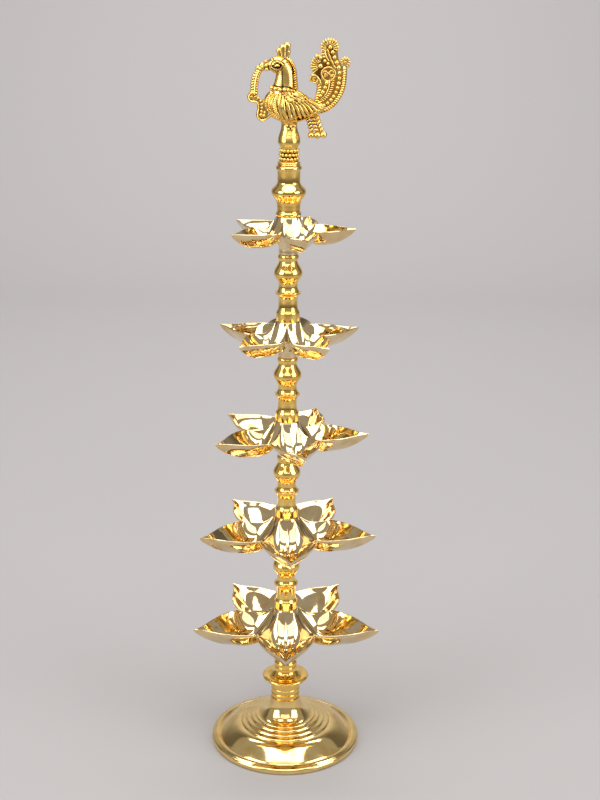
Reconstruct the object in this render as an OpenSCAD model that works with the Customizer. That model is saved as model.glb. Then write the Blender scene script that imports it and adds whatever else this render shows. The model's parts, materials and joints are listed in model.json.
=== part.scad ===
// Standing oil lamp: a dished base, a turned pedestal, five petal trays on
// four turned stem sections, a top stem and a cast peacock finial.
// Units are millimetres. +Z is up, the front is -Y, and the origin is the
// centre of the base's resting ring on the floor.

/* [Overall] */
// height from one tray rim to the next
tier_pitch = 90; // [80:1:110]
// height of the lowest tray rim above the floor
lowest_rim_z = 123.6; // [118:0.2:145]

/* [Petal trays] */
// reach of the top tray's petal tips from the stem's centre line
tip_reach_1 = 57; // [50:1:90]
// reach of the second tray's petal tips
tip_reach_2 = 64; // [50:1:90]
// reach of the third tray's petal tips
tip_reach_3 = 72; // [50:1:95]
// reach of the fourth tray's petal tips
tip_reach_4 = 82; // [50:1:100]
// reach of the lowest tray's petal tips
tip_reach_5 = 88; // [50:1:105]
// turn of the top tray about the stem, in degrees
tray_turn_1 = 17.3; // [0:0.1:72]
// turn of the second tray
tray_turn_2 = 33.4; // [0:0.1:72]
// turn of the third tray
tray_turn_3 = 13.7; // [0:0.1:72]
// turn of the fourth tray
tray_turn_4 = 3.5; // [0:0.1:72]
// turn of the lowest tray
tray_turn_5 = 0.6; // [0:0.1:72]
// depth of a petal bowl as a share of the tip reach
bowl_share = 0.215; // [0.12:0.005:0.22]
// reach of the notch between petals as a share of the tip reach
notch_share = 0.52; // [0.45:0.01:0.65]
// wall thickness of the cast trays
tray_wall = 2.2; // [1.8:0.1:3]

/* [Tray hubs] */
// height of a hub's top face above its tray's rim
hub_rise = 10; // [8:0.5:12]
// drop of a hub's foot below its tray's rim
hub_drop = 22.5; // [20:0.5:26]
// radius of a hub's top face
hub_r = 10.4; // [9.5:0.1:12]
// radius of the neck under a tray
neck_r = 8; // [7:0.1:9]

/* [Stem] */
// radius of the plain band at the foot of a stem section
band_r = 10.1; // [9:0.1:12]
// height of that band
band_h = 7.7; // [5:0.1:10]
// radius of the waists on either side of the bead
waist_r = 8.1; // [7:0.1:9]
// radius of the sharp-edged bead
bead_r = 10.9; // [9.5:0.1:13]
// radius of the vase-shaped bulb
bulb_r = 12.1; // [10:0.1:15]
// radius of the collar at the head of a stem section
collar_r = 8.9; // [8.2:0.1:10]
// height of the collar
collar_h = 4.5; // [3:0.1:6]

/* [Top stem] */
// height of the top stem
top_stem_h = 41.9; // [36:0.1:50]
// radius of its end rings
end_ring_r = 10.8; // [9.8:0.1:13]
// radius of its bulb
top_bulb_r = 14.5; // [11:0.1:18]
// radius of its plain neck
top_neck_r = 9.6; // [8:0.1:10]

/* [Pedestal] */
// radius of the flange
flange_r = 21.1; // [18:0.1:26]
// radius of the drum that stands on the base
drum_r = 13.2; // [11:0.1:15]
// radius of the rounded ring above the flange
swell_r = 10.4; // [9.5:0.1:12]

/* [Base] */
// radius of the base rim
base_r = 68.3; // [55:0.1:85]
// height of the base
base_h = 43.5; // [38:0.5:50]
// wall thickness of the base
base_wall = 2; // [1.5:0.1:3]

/* [Peacock finial] */
// size of the peacock against its usual size
peacock_scale = 1; // [0.85:0.01:1.1]

/* [Studs] */
// radius of the threaded studs
stud_r = 4; // [3:0.1:4.5]
// length of stud held in each neighbour
stud_grip = 12; // [10:0.5:14]
// radial clearance of the studs in the parts that turn on them
thread_gap = 0.05; // [0.02:0.01:0.1]

/* [Hidden] */
$fn = 96;
petals = 5;
petal_angle = 360 / petals;
bore_r = stud_r + thread_gap;
// extra bore depth past a stud's end
bore_spare = 1;
bore_depth = stud_grip + bore_spare;
section_len = tier_pitch - hub_rise - hub_drop;
tip_reach = [tip_reach_1, tip_reach_2, tip_reach_3, tip_reach_4, tip_reach_5];
tray_turn = [tray_turn_1, tray_turn_2, tray_turn_3, tray_turn_4, tray_turn_5];
// rim height of tray k, counted from the top
function rim_z(k) = lowest_rim_z + (petals - k) * tier_pitch;
pedestal_top = lowest_rim_z - hub_drop;
top_stem_z = rim_z(1) + hub_rise;
finial_z = top_stem_z + top_stem_h;
// how far a cutter or bore runs past the face it opens
over = 1;
polish_brass = [0.83, 0.62, 0.25];
pale_brass = [0.88, 0.76, 0.5];
antique_brass = [0.66, 0.52, 0.24];
bare_brass = [0.7, 0.58, 0.34];

// A turned curve that leaves and arrives along the axis, like an S.
function ease(r0, z0, r1, z1, n) = [for (i = [0:n])
    [r0 + (r1 - r0) * (1 - cos(180 * i / n)) / 2, z0 + (z1 - z0) * i / n]];
// A turned curve that leaves along the axis and ends flared, like a trumpet.
function flare(r0, z0, r1, z1, n) = [for (i = [0:n])
    [r0 + (r1 - r0) * (1 - cos(90 * i / n)), z0 + (z1 - z0) * sin(90 * i / n)]];
// A half-round moulding between two heights on a wall of radius r.
function roll(r, z0, z1, bulge, n) = [for (i = [0:n])
    [r + bulge * sin(180 * i / n), (z0 + z1) / 2 - (z1 - z0) / 2 * cos(180 * i / n)]];
// The same points in the other order.
function rev(wall) = [for (i = [len(wall) - 1:-1:0]) wall[i]];
function mix(a, b, t) = a + (b - a) * t;
function clamp01(t) = min(1, max(0, t));

// Turns a list of [radius, height] wall points into a solid on the axis.
module turned(wall) {
    first = wall[0];
    last = wall[len(wall) - 1];
    rotate_extrude()
        polygon(concat([[0, first[1]]], wall, [[0, last[1]]]));
}

// Blind hole for a stud, opening at height z and running up or down.
module stud_hole(z, up) {
    translate([0, 0, up ? z - over : z - bore_depth])
        cylinder(r = bore_r, h = bore_depth + over);
}

// ---- petal trays ----

// Angles from a petal's centre line to the notch, closer near the drawn-out tip.
half_steps = [0, 0.02, 0.07, 0.16, 0.3, 0.46, 0.64, 0.82];
spread = [for (s = half_steps) s, 1, for (i = [len(half_steps) - 1:-1:1]) half_steps[i]];
ring_count = 11;
// How fast the outline narrows towards the tip.
ogee = 0.8;
// radius inside the hub where the shell's skins start
shell_inner_r = 6;
// plain height at a hub's foot, and the height above the rim where it is full width
neck_h = 4;
hub_swell_z = 2;
// reach of the throat round the hub as a share of the tip reach
throat_share = 0.36;
// roundness of the bowls along and across a petal: lower is fuller
full_along = 0.95;
full_across = 0.75;

// Distance of the rim from the centre, where s is 0 at a tip and 1 at a notch.
function rim_reach(tip, s) = tip * (1 - (1 - notch_share) * pow(s, ogee));
// step from the throat's highest point up to the hub's top face
hub_step = 0.3;
// Throat that climbs to the hub.
function throat(r, tip) = (hub_rise - hub_step)
    * pow(clamp01((throat_share * tip - r) / (throat_share * tip - hub_r)), 2);
// Share of full bowl depth at distance r, on a line where the rim is at reach.
function bowl(r, reach) = pow(sin(180 * pow(clamp01((r - hub_r) / (reach - hub_r)), 0.75)), full_along);
// Height of the inside surface above the rim.
function inside_z(tip, s, r) = throat(r, tip)
    - bowl_share * tip * bowl(r, rim_reach(tip, s)) * pow(cos(90 * s), full_across);
// The wall tapers a little at the rim edge.
function wall_at(u) = tray_wall * mix(1, 0.7, pow(u, 4));

// One cast shell: an inside skin, an outside skin, a rim edge and a hub edge.
module petal_shell(tip) {
    columns = petals * len(spread);
    function col_s(c) = spread[c % len(spread)];
    function col_a(c) = petal_angle * floor(c / len(spread))
        + petal_angle / 2 * ((c % len(spread)) <= len(half_steps) ? col_s(c) : 2 - col_s(c));
    function ring_u(j) = pow(j / ring_count, 0.9);
    function ring_r(c, j) = mix(shell_inner_r, rim_reach(tip, col_s(c)), ring_u(j));
    skin_in = [for (j = [0:ring_count]) for (c = [0:columns - 1])
        [ring_r(c, j) * cos(col_a(c)), ring_r(c, j) * sin(col_a(c)),
            inside_z(tip, col_s(c), ring_r(c, j))]];
    skin_out = [for (j = [0:ring_count]) for (c = [0:columns - 1])
        [ring_r(c, j) * cos(col_a(c)), ring_r(c, j) * sin(col_a(c)),
            inside_z(tip, col_s(c), ring_r(c, j)) - wall_at(ring_u(j))]];
    under = len(skin_in);
    function at(j, c) = j * columns + c % columns;
    faces = [
        for (j = [0:ring_count - 1]) for (c = [0:columns - 1]) for (half = [0, 1])
            half == 0 ? [at(j, c), at(j, c + 1), at(j + 1, c + 1)]
                : [at(j, c), at(j + 1, c + 1), at(j + 1, c)],
        for (j = [0:ring_count - 1]) for (c = [0:columns - 1]) for (half = [0, 1])
            half == 0 ? [under + at(j, c), under + at(j + 1, c + 1), under + at(j, c + 1)]
                : [under + at(j, c), under + at(j + 1, c), under + at(j + 1, c + 1)],
        for (c = [0:columns - 1]) for (half = [0, 1])
            half == 0 ? [at(ring_count, c), at(ring_count, c + 1), under + at(ring_count, c + 1)]
                : [at(ring_count, c), under + at(ring_count, c + 1), under + at(ring_count, c)],
        for (c = [0:columns - 1]) for (half = [0, 1])
            half == 0 ? [at(0, c), under + at(0, c + 1), at(0, c + 1)]
                : [at(0, c), under + at(0, c), under + at(0, c + 1)]
    ];
    polyhedron(points = concat(skin_in, skin_out), faces = faces);
}

// A tray: the petal shell round a turned hub with a through bore.
module tray(k) {
    translate([0, 0, rim_z(k)])
        rotate([0, 0, tray_turn[k - 1] - 90])
            difference() {
                union() {
                    petal_shell(tip_reach[k - 1]);
                    turned(concat(
                        [[neck_r, -hub_drop]],
                        ease(neck_r, -hub_drop + neck_h, hub_r, hub_swell_z, 6),
                        [[hub_r, hub_rise]]));
                }
                translate([0, 0, -hub_drop - over])
                    cylinder(r = bore_r, h = hub_rise + hub_drop + 2 * over);
            }
}

// ---- turned stem ----

// bulge of the collars, of the top stem's end rings and of the flange's lip
collar_roll = 0.9;
ring_roll = 1;
lip_roll = 1.2;

// Stem section that stands on tray k + 1 and carries tray k. Heights are shares
// of the shaped length between its band and its collar.
module stem_section(k) {
    foot = rim_z(k + 1) + hub_rise;
    head = foot + section_len;
    shaped = section_len - band_h - collar_h;
    function up(share) = foot + band_h + shaped * share;
    difference() {
        turned(concat(
            [[band_r, foot], [band_r, foot + band_h]],
            rev(flare(waist_r, up(0.19), band_r - 0.6, up(0.02), 5)),
            flare(waist_r, up(0.22), bead_r, up(0.35), 5),
            rev(flare(waist_r, up(0.5), bead_r, up(0.38), 5)),
            ease(waist_r, up(0.53), bulb_r, up(0.735), 9),
            ease(bulb_r, up(0.75), waist_r - 0.3, up(0.985), 9),
            roll(collar_r - collar_roll, head - collar_h, head, collar_roll, 6)));
        stud_hole(foot, true);
        stud_hole(head, false);
    }
}

// Stem piece between the top tray and the finial, in shares of its height.
module top_stem_turning() {
    function up(h) = top_stem_z + top_stem_h * h;
    difference() {
        turned(concat(
            roll(end_ring_r - ring_roll, up(0), up(0.085), ring_roll, 6),
            ease(top_neck_r, up(0.1), top_neck_r + 0.3, up(0.24), 2),
            ease(top_neck_r + 0.6, up(0.27), top_bulb_r, up(0.48), 9),
            ease(top_bulb_r, up(0.5), top_neck_r, up(0.68), 9),
            [[top_neck_r, up(0.9)]],
            roll(end_ring_r - ring_roll, up(0.915), up(1), ring_roll, 6)));
        stud_hole(top_stem_z, true);
        stud_hole(finial_z, false);
    }
}

// ---- pedestal and base ----

// Drum, lipped flange, rounded ring and collar between the base and the lowest tray.
module pedestal_turning() {
    top = pedestal_top;
    foot = base_h;
    flange_z = mix(foot, top, 0.36);
    swell_z = mix(foot, top, 0.575);
    swell_half = 3;
    difference() {
        turned(concat(
            [[drum_r - 0.8, foot], [drum_r, foot + 0.8], [drum_r, foot + 4.4]],
            [[drum_r - 0.7, foot + 4.9], [drum_r, foot + 5.4], [drum_r + 0.3, flange_z - 2]],
            [[flange_r - lip_roll, flange_z - lip_roll]],
            roll(flange_r - lip_roll, flange_z - lip_roll, flange_z + lip_roll, lip_roll, 6),
            rev(flare(swell_r - 0.8, swell_z - 4.6, flange_r - 2.2, flange_z + 1.6, 8)),
            roll(swell_r - lip_roll, swell_z - swell_half, swell_z + swell_half, lip_roll, 8),
            ease(waist_r + 0.2, swell_z + 4.5, waist_r + 0.2, top - 12, 2),
            ease(waist_r + 0.2, top - 11, waist_r - 0.2, top - collar_h - 1, 3),
            roll(collar_r - collar_roll, top - collar_h, top, collar_roll, 6)));
        stud_hole(top, false);
        translate([0, 0, foot - over])
            cylinder(r = stud_r, h = bore_depth + over);
    }
}

// height, width and edge radius of the rolled rim
rim_h = 7;
rim_w = 7.3;
rim_roll = 1.6;
// the shoulder, then the stepped rings that lead up to the bell
shoulder_r = base_r * 0.6;
step_count = 3;
step_w = 4.5;
step_rise = 2.15;
step_edge = 1.4;
bell_r = shoulder_r - step_count * step_w;
shoulder_z = base_h * 0.407;
bell_z = shoulder_z + step_count * step_rise;
seat_r = drum_r + 0.4;
// height of the rim's widest wall
rim_wall_h = rim_h - 1.4;
// Upper outline of the base from the rim's foot to the seat of the pedestal.
function base_outline() = concat(
    [[base_r - rim_roll, 0]],
    roll(base_r - rim_roll, 0.2, rim_wall_h, rim_roll, 6),
    [[base_r - rim_roll, rim_wall_h], [base_r - rim_w + 0.6, rim_h]],
    [[base_r - rim_w, rim_h - 1]],
    [for (i = [0:8]) [
        mix(base_r - rim_w - 0.6, shoulder_r, i / 8),
        mix(rim_h - 0.6, shoulder_z, sin(90 * i / 8))]],
    [for (i = [0:step_count - 1]) for (half = [0, 1])
        half == 0 ? [shoulder_r - step_w * i - 0.5, shoulder_z + step_rise * i + step_edge]
            : [shoulder_r - step_w * (i + 1), shoulder_z + step_rise * (i + 1)]],
    rev(flare(seat_r, base_h, bell_r, bell_z + 0.4, 8)));
// Inner skin of the base, one wall in from the outline, without the fine steps.
// The rim is rolled over, so it is thicker than the wall.
rim_inside_r = base_r - rim_roll - base_wall * 1.6;
function base_hollow() = concat(
    [[rim_inside_r, 0], [rim_inside_r, rim_wall_h - base_wall * 0.6]],
    [for (i = [0:6]) [
        mix(base_r - rim_w - base_wall, shoulder_r - base_wall * 0.4, i / 6),
        mix(rim_h - 0.6, shoulder_z, sin(90 * i / 6)) - base_wall * 1.25]],
    [[bell_r - base_wall * 0.4, bell_z - base_wall * 1.25]],
    rev(flare(seat_r - base_wall, base_h - base_wall, bell_r - base_wall, bell_z - base_wall * 0.9, 6)));

module base_shell() {
    difference() {
        turned(base_outline());
        translate([0, 0, -0.01])
            turned(base_hollow());
        translate([0, 0, base_h - base_wall - over])
            cylinder(r = bore_r, h = base_wall + 2 * over);
    }
}

// washer and nut, clamped up under the base's seat
washer_r = 10;
washer_h = 1.6;
washer_gap = 0.2;
// radius to the nut's corners
nut_r = 7.5;
nut_h = 6.5;
under_seat = base_h - base_wall - 0.01;

module washer_ring() {
    translate([0, 0, under_seat - washer_h])
        difference() {
            cylinder(r = washer_r, h = washer_h);
            translate([0, 0, -over])
                cylinder(r = bore_r + washer_gap, h = washer_h + 2 * over);
        }
}

module hex_nut() {
    translate([0, 0, under_seat - washer_h - nut_h])
        difference() {
            cylinder(r = nut_r, h = nut_h, $fn = 6);
            translate([0, 0, -over])
                cylinder(r = stud_r, h = nut_h + 2 * over);
        }
}

// length of stud that shows below the nut
stud_tail = 3;
// Stud through the base, from below the nut into the pedestal.
module base_stud_rod() {
    foot = under_seat - washer_h - nut_h - stud_tail;
    rod(foot, base_h + stud_grip);
}

// A stud with small chamfers at both ends.
module rod(z0, z1) {
    chamfer = 0.8;
    turned([[stud_r - chamfer, z0], [stud_r, z0 + chamfer],
        [stud_r, z1 - chamfer], [stud_r - chamfer, z1]]);
}

// Stud through tray k, from the piece below into the piece above.
module tray_stud(k) {
    rod(rim_z(k) - hub_drop - stud_grip, rim_z(k) + hub_rise + stud_grip);
}

module top_stud() {
    rod(finial_z - stud_grip, finial_z + stud_grip);
}

// ---- peacock finial ----

// A bent solid of oval sections. Each station is [x, z, half width in the
// X-Z plane, half depth along Y], listed along the bend.
module bent(stations, sides) {
    last = len(stations) - 1;
    function along(i) = [stations[min(i + 1, last)][0] - stations[max(i - 1, 0)][0],
        stations[min(i + 1, last)][1] - stations[max(i - 1, 0)][1]];
    function across(i) = [-along(i)[1], along(i)[0]] / norm(along(i));
    points = [for (i = [0:last]) for (j = [0:sides - 1])
        [stations[i][0] + across(i)[0] * stations[i][2] * cos(360 * j / sides),
            stations[i][3] * sin(360 * j / sides),
            stations[i][1] + across(i)[1] * stations[i][2] * cos(360 * j / sides)]];
    function at(i, j) = i * sides + j % sides;
    faces = concat(
        [for (i = [0:last - 1]) for (j = [0:sides - 1]) for (half = [0, 1])
            half == 0 ? [at(i, j), at(i, j + 1), at(i + 1, j + 1)]
                : [at(i, j), at(i + 1, j + 1), at(i + 1, j)]],
        [[for (j = [sides - 1:-1:0]) j]],
        [[for (j = [0:sides - 1]) at(last, j)]]);
    polyhedron(points = points, faces = faces);
}

module bead(x, z, r) {
    translate([x, 0, z])
        sphere(r = r);
}

// A round boss standing out of both faces of the tail.
module boss(x, z, r, depth) {
    translate([x, depth / 2, z])
        rotate([90, 0, 0])
            cylinder(r = r, h = depth);
}

// Cup, beaded rings and bulb under the bird.
module finial_foot() {
    difference() {
        turned(concat(
            [[9.8, 0], [9.8, 3.2], [8.4, 3.9]],
            roll(7.6, 4, 7.4, 0.8, 4),
            roll(7.4, 7.6, 11, 0.8, 4),
            roll(7.2, 11.2, 14.4, 0.8, 4),
            ease(7.2, 14.6, 9.4, 19, 5),
            ease(9.4, 20, 6.6, 33, 7),
            ease(6.8, 34.5, 8.6, 42, 4)));
        translate([0, 0, -over])
            cylinder(r = bore_r / peacock_scale, h = bore_depth / peacock_scale + over);
    }
}

// thickness of the tail plate
tail_depth = 7;
// Tail: a flat casting of plume lobes inside a ribbed spine.
module tail_plate() {
    translate([0, tail_depth / 2, 0])
        rotate([90, 0, 0])
            linear_extrude(tail_depth)
                polygon([
                    [22, 46], [30, 48.5], [37, 54], [41.2, 60], [42.6, 68],
                    [42.4, 76], [40, 84], [38, 90], [28, 90], [24, 86],
                    [19, 80], [20.5, 70], [20.6, 58], [19, 52]]);
    boss(32.4, 96.2, 7.3, tail_depth);
    boss(32.4, 90, 6.6, tail_depth - 0.6);
    boss(21.4, 84.6, 4.9, tail_depth - 1);
    boss(20.2, 79.6, 4.6, tail_depth - 1.4);
    boss(19.2, 69.6, 3.6, tail_depth - 0.4);
    boss(31.4, 74.6, 6.5, tail_depth + 2.4);
    boss(45.3, 83.6, 4.1, tail_depth - 2);
}

module peacock() {
    color(antique_brass)
        translate([0, 0, finial_z])
            scale(peacock_scale) {
                finial_foot();
                // body, from the breast to the root of the tail
                bent([[-20.6, 50.7, 2.5, 2.5], [-19.2, 50.7, 6, 5], [-16, 51, 9.4, 7.6],
                    [-11, 50.4, 12.2, 9.4], [-4.6, 49.5, 13.8, 10.2], [2, 49.4, 13.4, 9.8],
                    [8.4, 48.4, 11.4, 8.6], [15, 47.3, 8.6, 7], [21, 47, 6.3, 5.6],
                    [26.5, 48.2, 4, 4]], 20);
                // neck and head
                bent([[-4.2, 54, 9.4, 8.6], [-3.8, 60, 8.9, 7.4], [-3.4, 66, 8.6, 6.4],
                    [-3.4, 72, 8, 6], [-4.6, 77.5, 7.4, 6], [-7.6, 81.6, 7.4, 6.2],
                    [-12, 82.6, 6.6, 5.6], [-16.2, 81.4, 4.4, 4.2], [-19.4, 80, 2.8, 3]], 16);
                // beak knob, crest lobes
                bead(-23.4, 79.6, 3.2);
                bead(-20, 80.4, 2.6);
                bead(-10, 92.9, 2.7);
                bead(-6.6, 95.8, 2.8);
                bead(-2.6, 97.3, 3.2);
                bent([[-4.4, 86, 2.6, 2.6], [-4.8, 89, 3.2, 2.8], [-5.4, 92.5, 5, 3],
                    [-6, 95, 5, 2.6]], 12);
                // garland from the beak to the breast
                bent([[-23.6, 79.4, 2, 2], [-25.6, 76.6, 3, 2.6], [-27.9, 72.6, 3.3, 2.6],
                    [-29.2, 67.4, 3.4, 2.6], [-29.6, 61.6, 3.4, 2.6], [-30.2, 56.4, 3.6, 2.6],
                    [-28.2, 52.9, 3, 2.4], [-25, 50.6, 2.5, 2.2], [-23.9, 46.4, 2.3, 2.2],
                    [-24.2, 42.2, 2.5, 2.2], [-22.4, 38.9, 2.5, 2.2], [-18.6, 39.8, 2.3, 2.2],
                    [-14.5, 43, 2.2, 2.2]], 10);
                bead(-31.2, 55, 3.4);
                tail_plate();
                // ribbed spine of the tail
                bent([[22, 44.4, 2.6, 3.2], [29.4, 46, 2.4, 3.2], [35.6, 50.2, 2.3, 3],
                    [40.6, 56.6, 2.3, 2.8], [43.4, 64, 2.3, 2.6], [44.3, 72, 2.2, 2.4],
                    [44.6, 80.4, 2, 2.2]], 10);
                // tassels behind the body
                bent([[15, 43, 3.8, 2.6], [18.2, 36, 4.6, 2.8], [21.4, 28.4, 4.6, 2.6],
                    [22.6, 25.4, 3.4, 2]], 10);
                bead(17.8, 24.9, 2.4);
                bead(23.1, 24.7, 2.8);
                bead(28, 25.1, 2.8);
            }
}

module base_dish() {
    color(pale_brass)
        base_shell();
}

module base_washer() {
    color(bare_brass)
        washer_ring();
}

module base_nut() {
    color(bare_brass)
        hex_nut();
}

module base_stud() {
    color(bare_brass)
        base_stud_rod();
}

module pedestal() {
    color(polish_brass)
        pedestal_turning();
}

module tray_1() {
    color(pale_brass)
        tray(1);
}

module tray_2() {
    color(pale_brass)
        tray(2);
}

module tray_3() {
    color(pale_brass)
        tray(3);
}

module tray_4() {
    color(pale_brass)
        tray(4);
}

module tray_5() {
    color(pale_brass)
        tray(5);
}

module stem_1() {
    color(polish_brass)
        stem_section(1);
}

module stem_2() {
    color(polish_brass)
        stem_section(2);
}

module stem_3() {
    color(polish_brass)
        stem_section(3);
}

module stem_4() {
    color(polish_brass)
        stem_section(4);
}

module top_stem() {
    color(polish_brass)
        top_stem_turning();
}

module stud_1() {
    color(bare_brass)
        tray_stud(1);
}

module stud_2() {
    color(bare_brass)
        tray_stud(2);
}

module stud_3() {
    color(bare_brass)
        tray_stud(3);
}

module stud_4() {
    color(bare_brass)
        tray_stud(4);
}

module stud_5() {
    color(bare_brass)
        tray_stud(5);
}

module finial_stud() {
    color(bare_brass)
        top_stud();
}

module peacock_finial() {
    peacock();
}

base_dish();
base_washer();
base_nut();
base_stud();
pedestal();
tray_1();
tray_2();
tray_3();
tray_4();
tray_5();
stem_1();
stem_2();
stem_3();
stem_4();
top_stem();
stud_1();
stud_2();
stud_3();
stud_4();
stud_5();
finial_stud();
peacock_finial();
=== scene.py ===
# %% [markdown]
# # Brass standing oil lamp
# A tall oil lamp for a shrine: a spun base, a turned stem, five cast trays of petal bowls
# and an antiqued peacock on top. Each piece below replaces the plain CAD node of the same
# name, sits exactly where that node sits, and moves with the same body.

# %% Load the frame
import json
import math

import bmesh
import bpy
from mathutils import Matrix, Vector
from mathutils.bvhtree import BVHTree
from mathutils.kdtree import KDTree


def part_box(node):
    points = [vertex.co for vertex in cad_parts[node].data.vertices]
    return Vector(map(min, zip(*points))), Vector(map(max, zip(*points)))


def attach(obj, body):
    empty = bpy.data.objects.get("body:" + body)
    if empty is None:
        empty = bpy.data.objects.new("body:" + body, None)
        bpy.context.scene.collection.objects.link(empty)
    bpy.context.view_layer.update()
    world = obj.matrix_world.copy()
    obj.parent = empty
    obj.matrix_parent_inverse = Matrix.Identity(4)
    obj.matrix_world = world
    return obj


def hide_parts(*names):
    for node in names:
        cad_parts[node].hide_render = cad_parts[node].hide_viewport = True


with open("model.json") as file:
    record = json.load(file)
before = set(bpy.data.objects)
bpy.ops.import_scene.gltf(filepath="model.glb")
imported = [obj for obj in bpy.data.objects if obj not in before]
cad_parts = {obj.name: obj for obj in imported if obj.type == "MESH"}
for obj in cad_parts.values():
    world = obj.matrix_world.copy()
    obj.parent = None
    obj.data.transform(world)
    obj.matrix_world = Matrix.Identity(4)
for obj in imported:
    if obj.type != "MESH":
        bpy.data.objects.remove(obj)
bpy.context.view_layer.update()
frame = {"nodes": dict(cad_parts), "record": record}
MM = 0.001

# %% [markdown]
# ## Camera
# The lamp is seen from the front, a little above its peacock, so each lower tray shows more
# of its inside. The long lens keeps the stem straight. The camera is set first, because
# every later choice is judged through it.

# %% Camera
# Place in metres, tilt and roll in degrees, lens and sensor in millimetres.
CAMERA_PLACE = (0.011, -1.188, 0.717)
CAMERA_DOWN = 17.96
CAMERA_ROLL = 0.555
LENS = 64.6
SENSOR = 36.0


def add_camera():
    data = bpy.data.cameras.new("camera")
    data.lens = LENS
    data.sensor_width = SENSOR
    data.clip_start = 0.01
    camera = bpy.data.objects.new("camera", data)
    bpy.context.scene.collection.objects.link(camera)
    tilt = Matrix.Rotation(math.radians(90 - CAMERA_DOWN), 4, "X")
    roll = Matrix.Rotation(math.radians(CAMERA_ROLL), 4, "Z")
    camera.matrix_world = Matrix.Translation(CAMERA_PLACE) @ tilt @ roll
    bpy.context.scene.camera = camera


add_camera()
print("camera at", CAMERA_PLACE, "lens", LENS)

# %% [markdown]
# ## Colour and node helpers
# Colours are written as the hex values a painter would pick on screen. Blender's shaders
# work in linear light, so one function converts them. Another adds a shader node, sets its
# values and links its inputs in one line, which keeps each material short.

# %% Node helpers


def linear(hex_colour):
    parts = [int(hex_colour[i:i + 2], 16) / 255 for i in (1, 3, 5)]
    curve = [p / 12.92 if p <= 0.04045 else ((p + 0.055) / 1.055) ** 2.4 for p in parts]
    return (*curve, 1.0)


def add(tree, kind, settings=None, **inputs):
    """Adds one node. settings are its own properties, inputs its sockets, by name or s0, s1."""
    node = tree.nodes.new(kind)
    for key, value in (settings or {}).items():
        setattr(node, key, value)
    for key, value in inputs.items():
        name = key.replace("_", " ")
        socket = node.inputs[int(key[1:])] if key[0] == "s" and key[1:].isdigit() else node.inputs[name]
        if isinstance(value, bpy.types.NodeSocket):
            tree.links.new(value, socket)
        else:
            socket.default_value = value
    return node


def ramp(tree, factor, stops):
    """A colour ramp from [position, colour] stops, where a colour may be one grey number."""
    node = add(tree, "ShaderNodeValToRGB", s0=factor)
    elements = node.color_ramp.elements
    while len(elements) < len(stops):
        elements.new(0.5)
    for element, (place, colour) in zip(elements, stops):
        element.position = place
        element.color = (colour, colour, colour, 1) if isinstance(colour, float) else colour
    return node.outputs["Color"]


def new_material(name):
    material = bpy.data.materials.new(name)
    material.use_nodes = True
    material.node_tree.nodes.clear()
    return material, material.node_tree


print("helpers ready")

# %% [markdown]
# ## Brass
# Brass is copper with zinc: it is a metal, so all its colour is in its reflections and its
# shader is fully metallic. The pieces differ in how they were made. Turned and spun pieces
# carry fine rings from the lathe tool and the polishing wheel, cast trays have a hand-finished
# mirror with slow waves, and all have faint smudges where hands and cloths have been. One
# builder makes these finishes, with the ring spacing and the wave size in millimetres.

# %% Polished brass
SPECK_BROWN = linear("#5C3A14")
# A smudge is this many times as rough as the clean polish.
SMUDGED = 2.1


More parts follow.
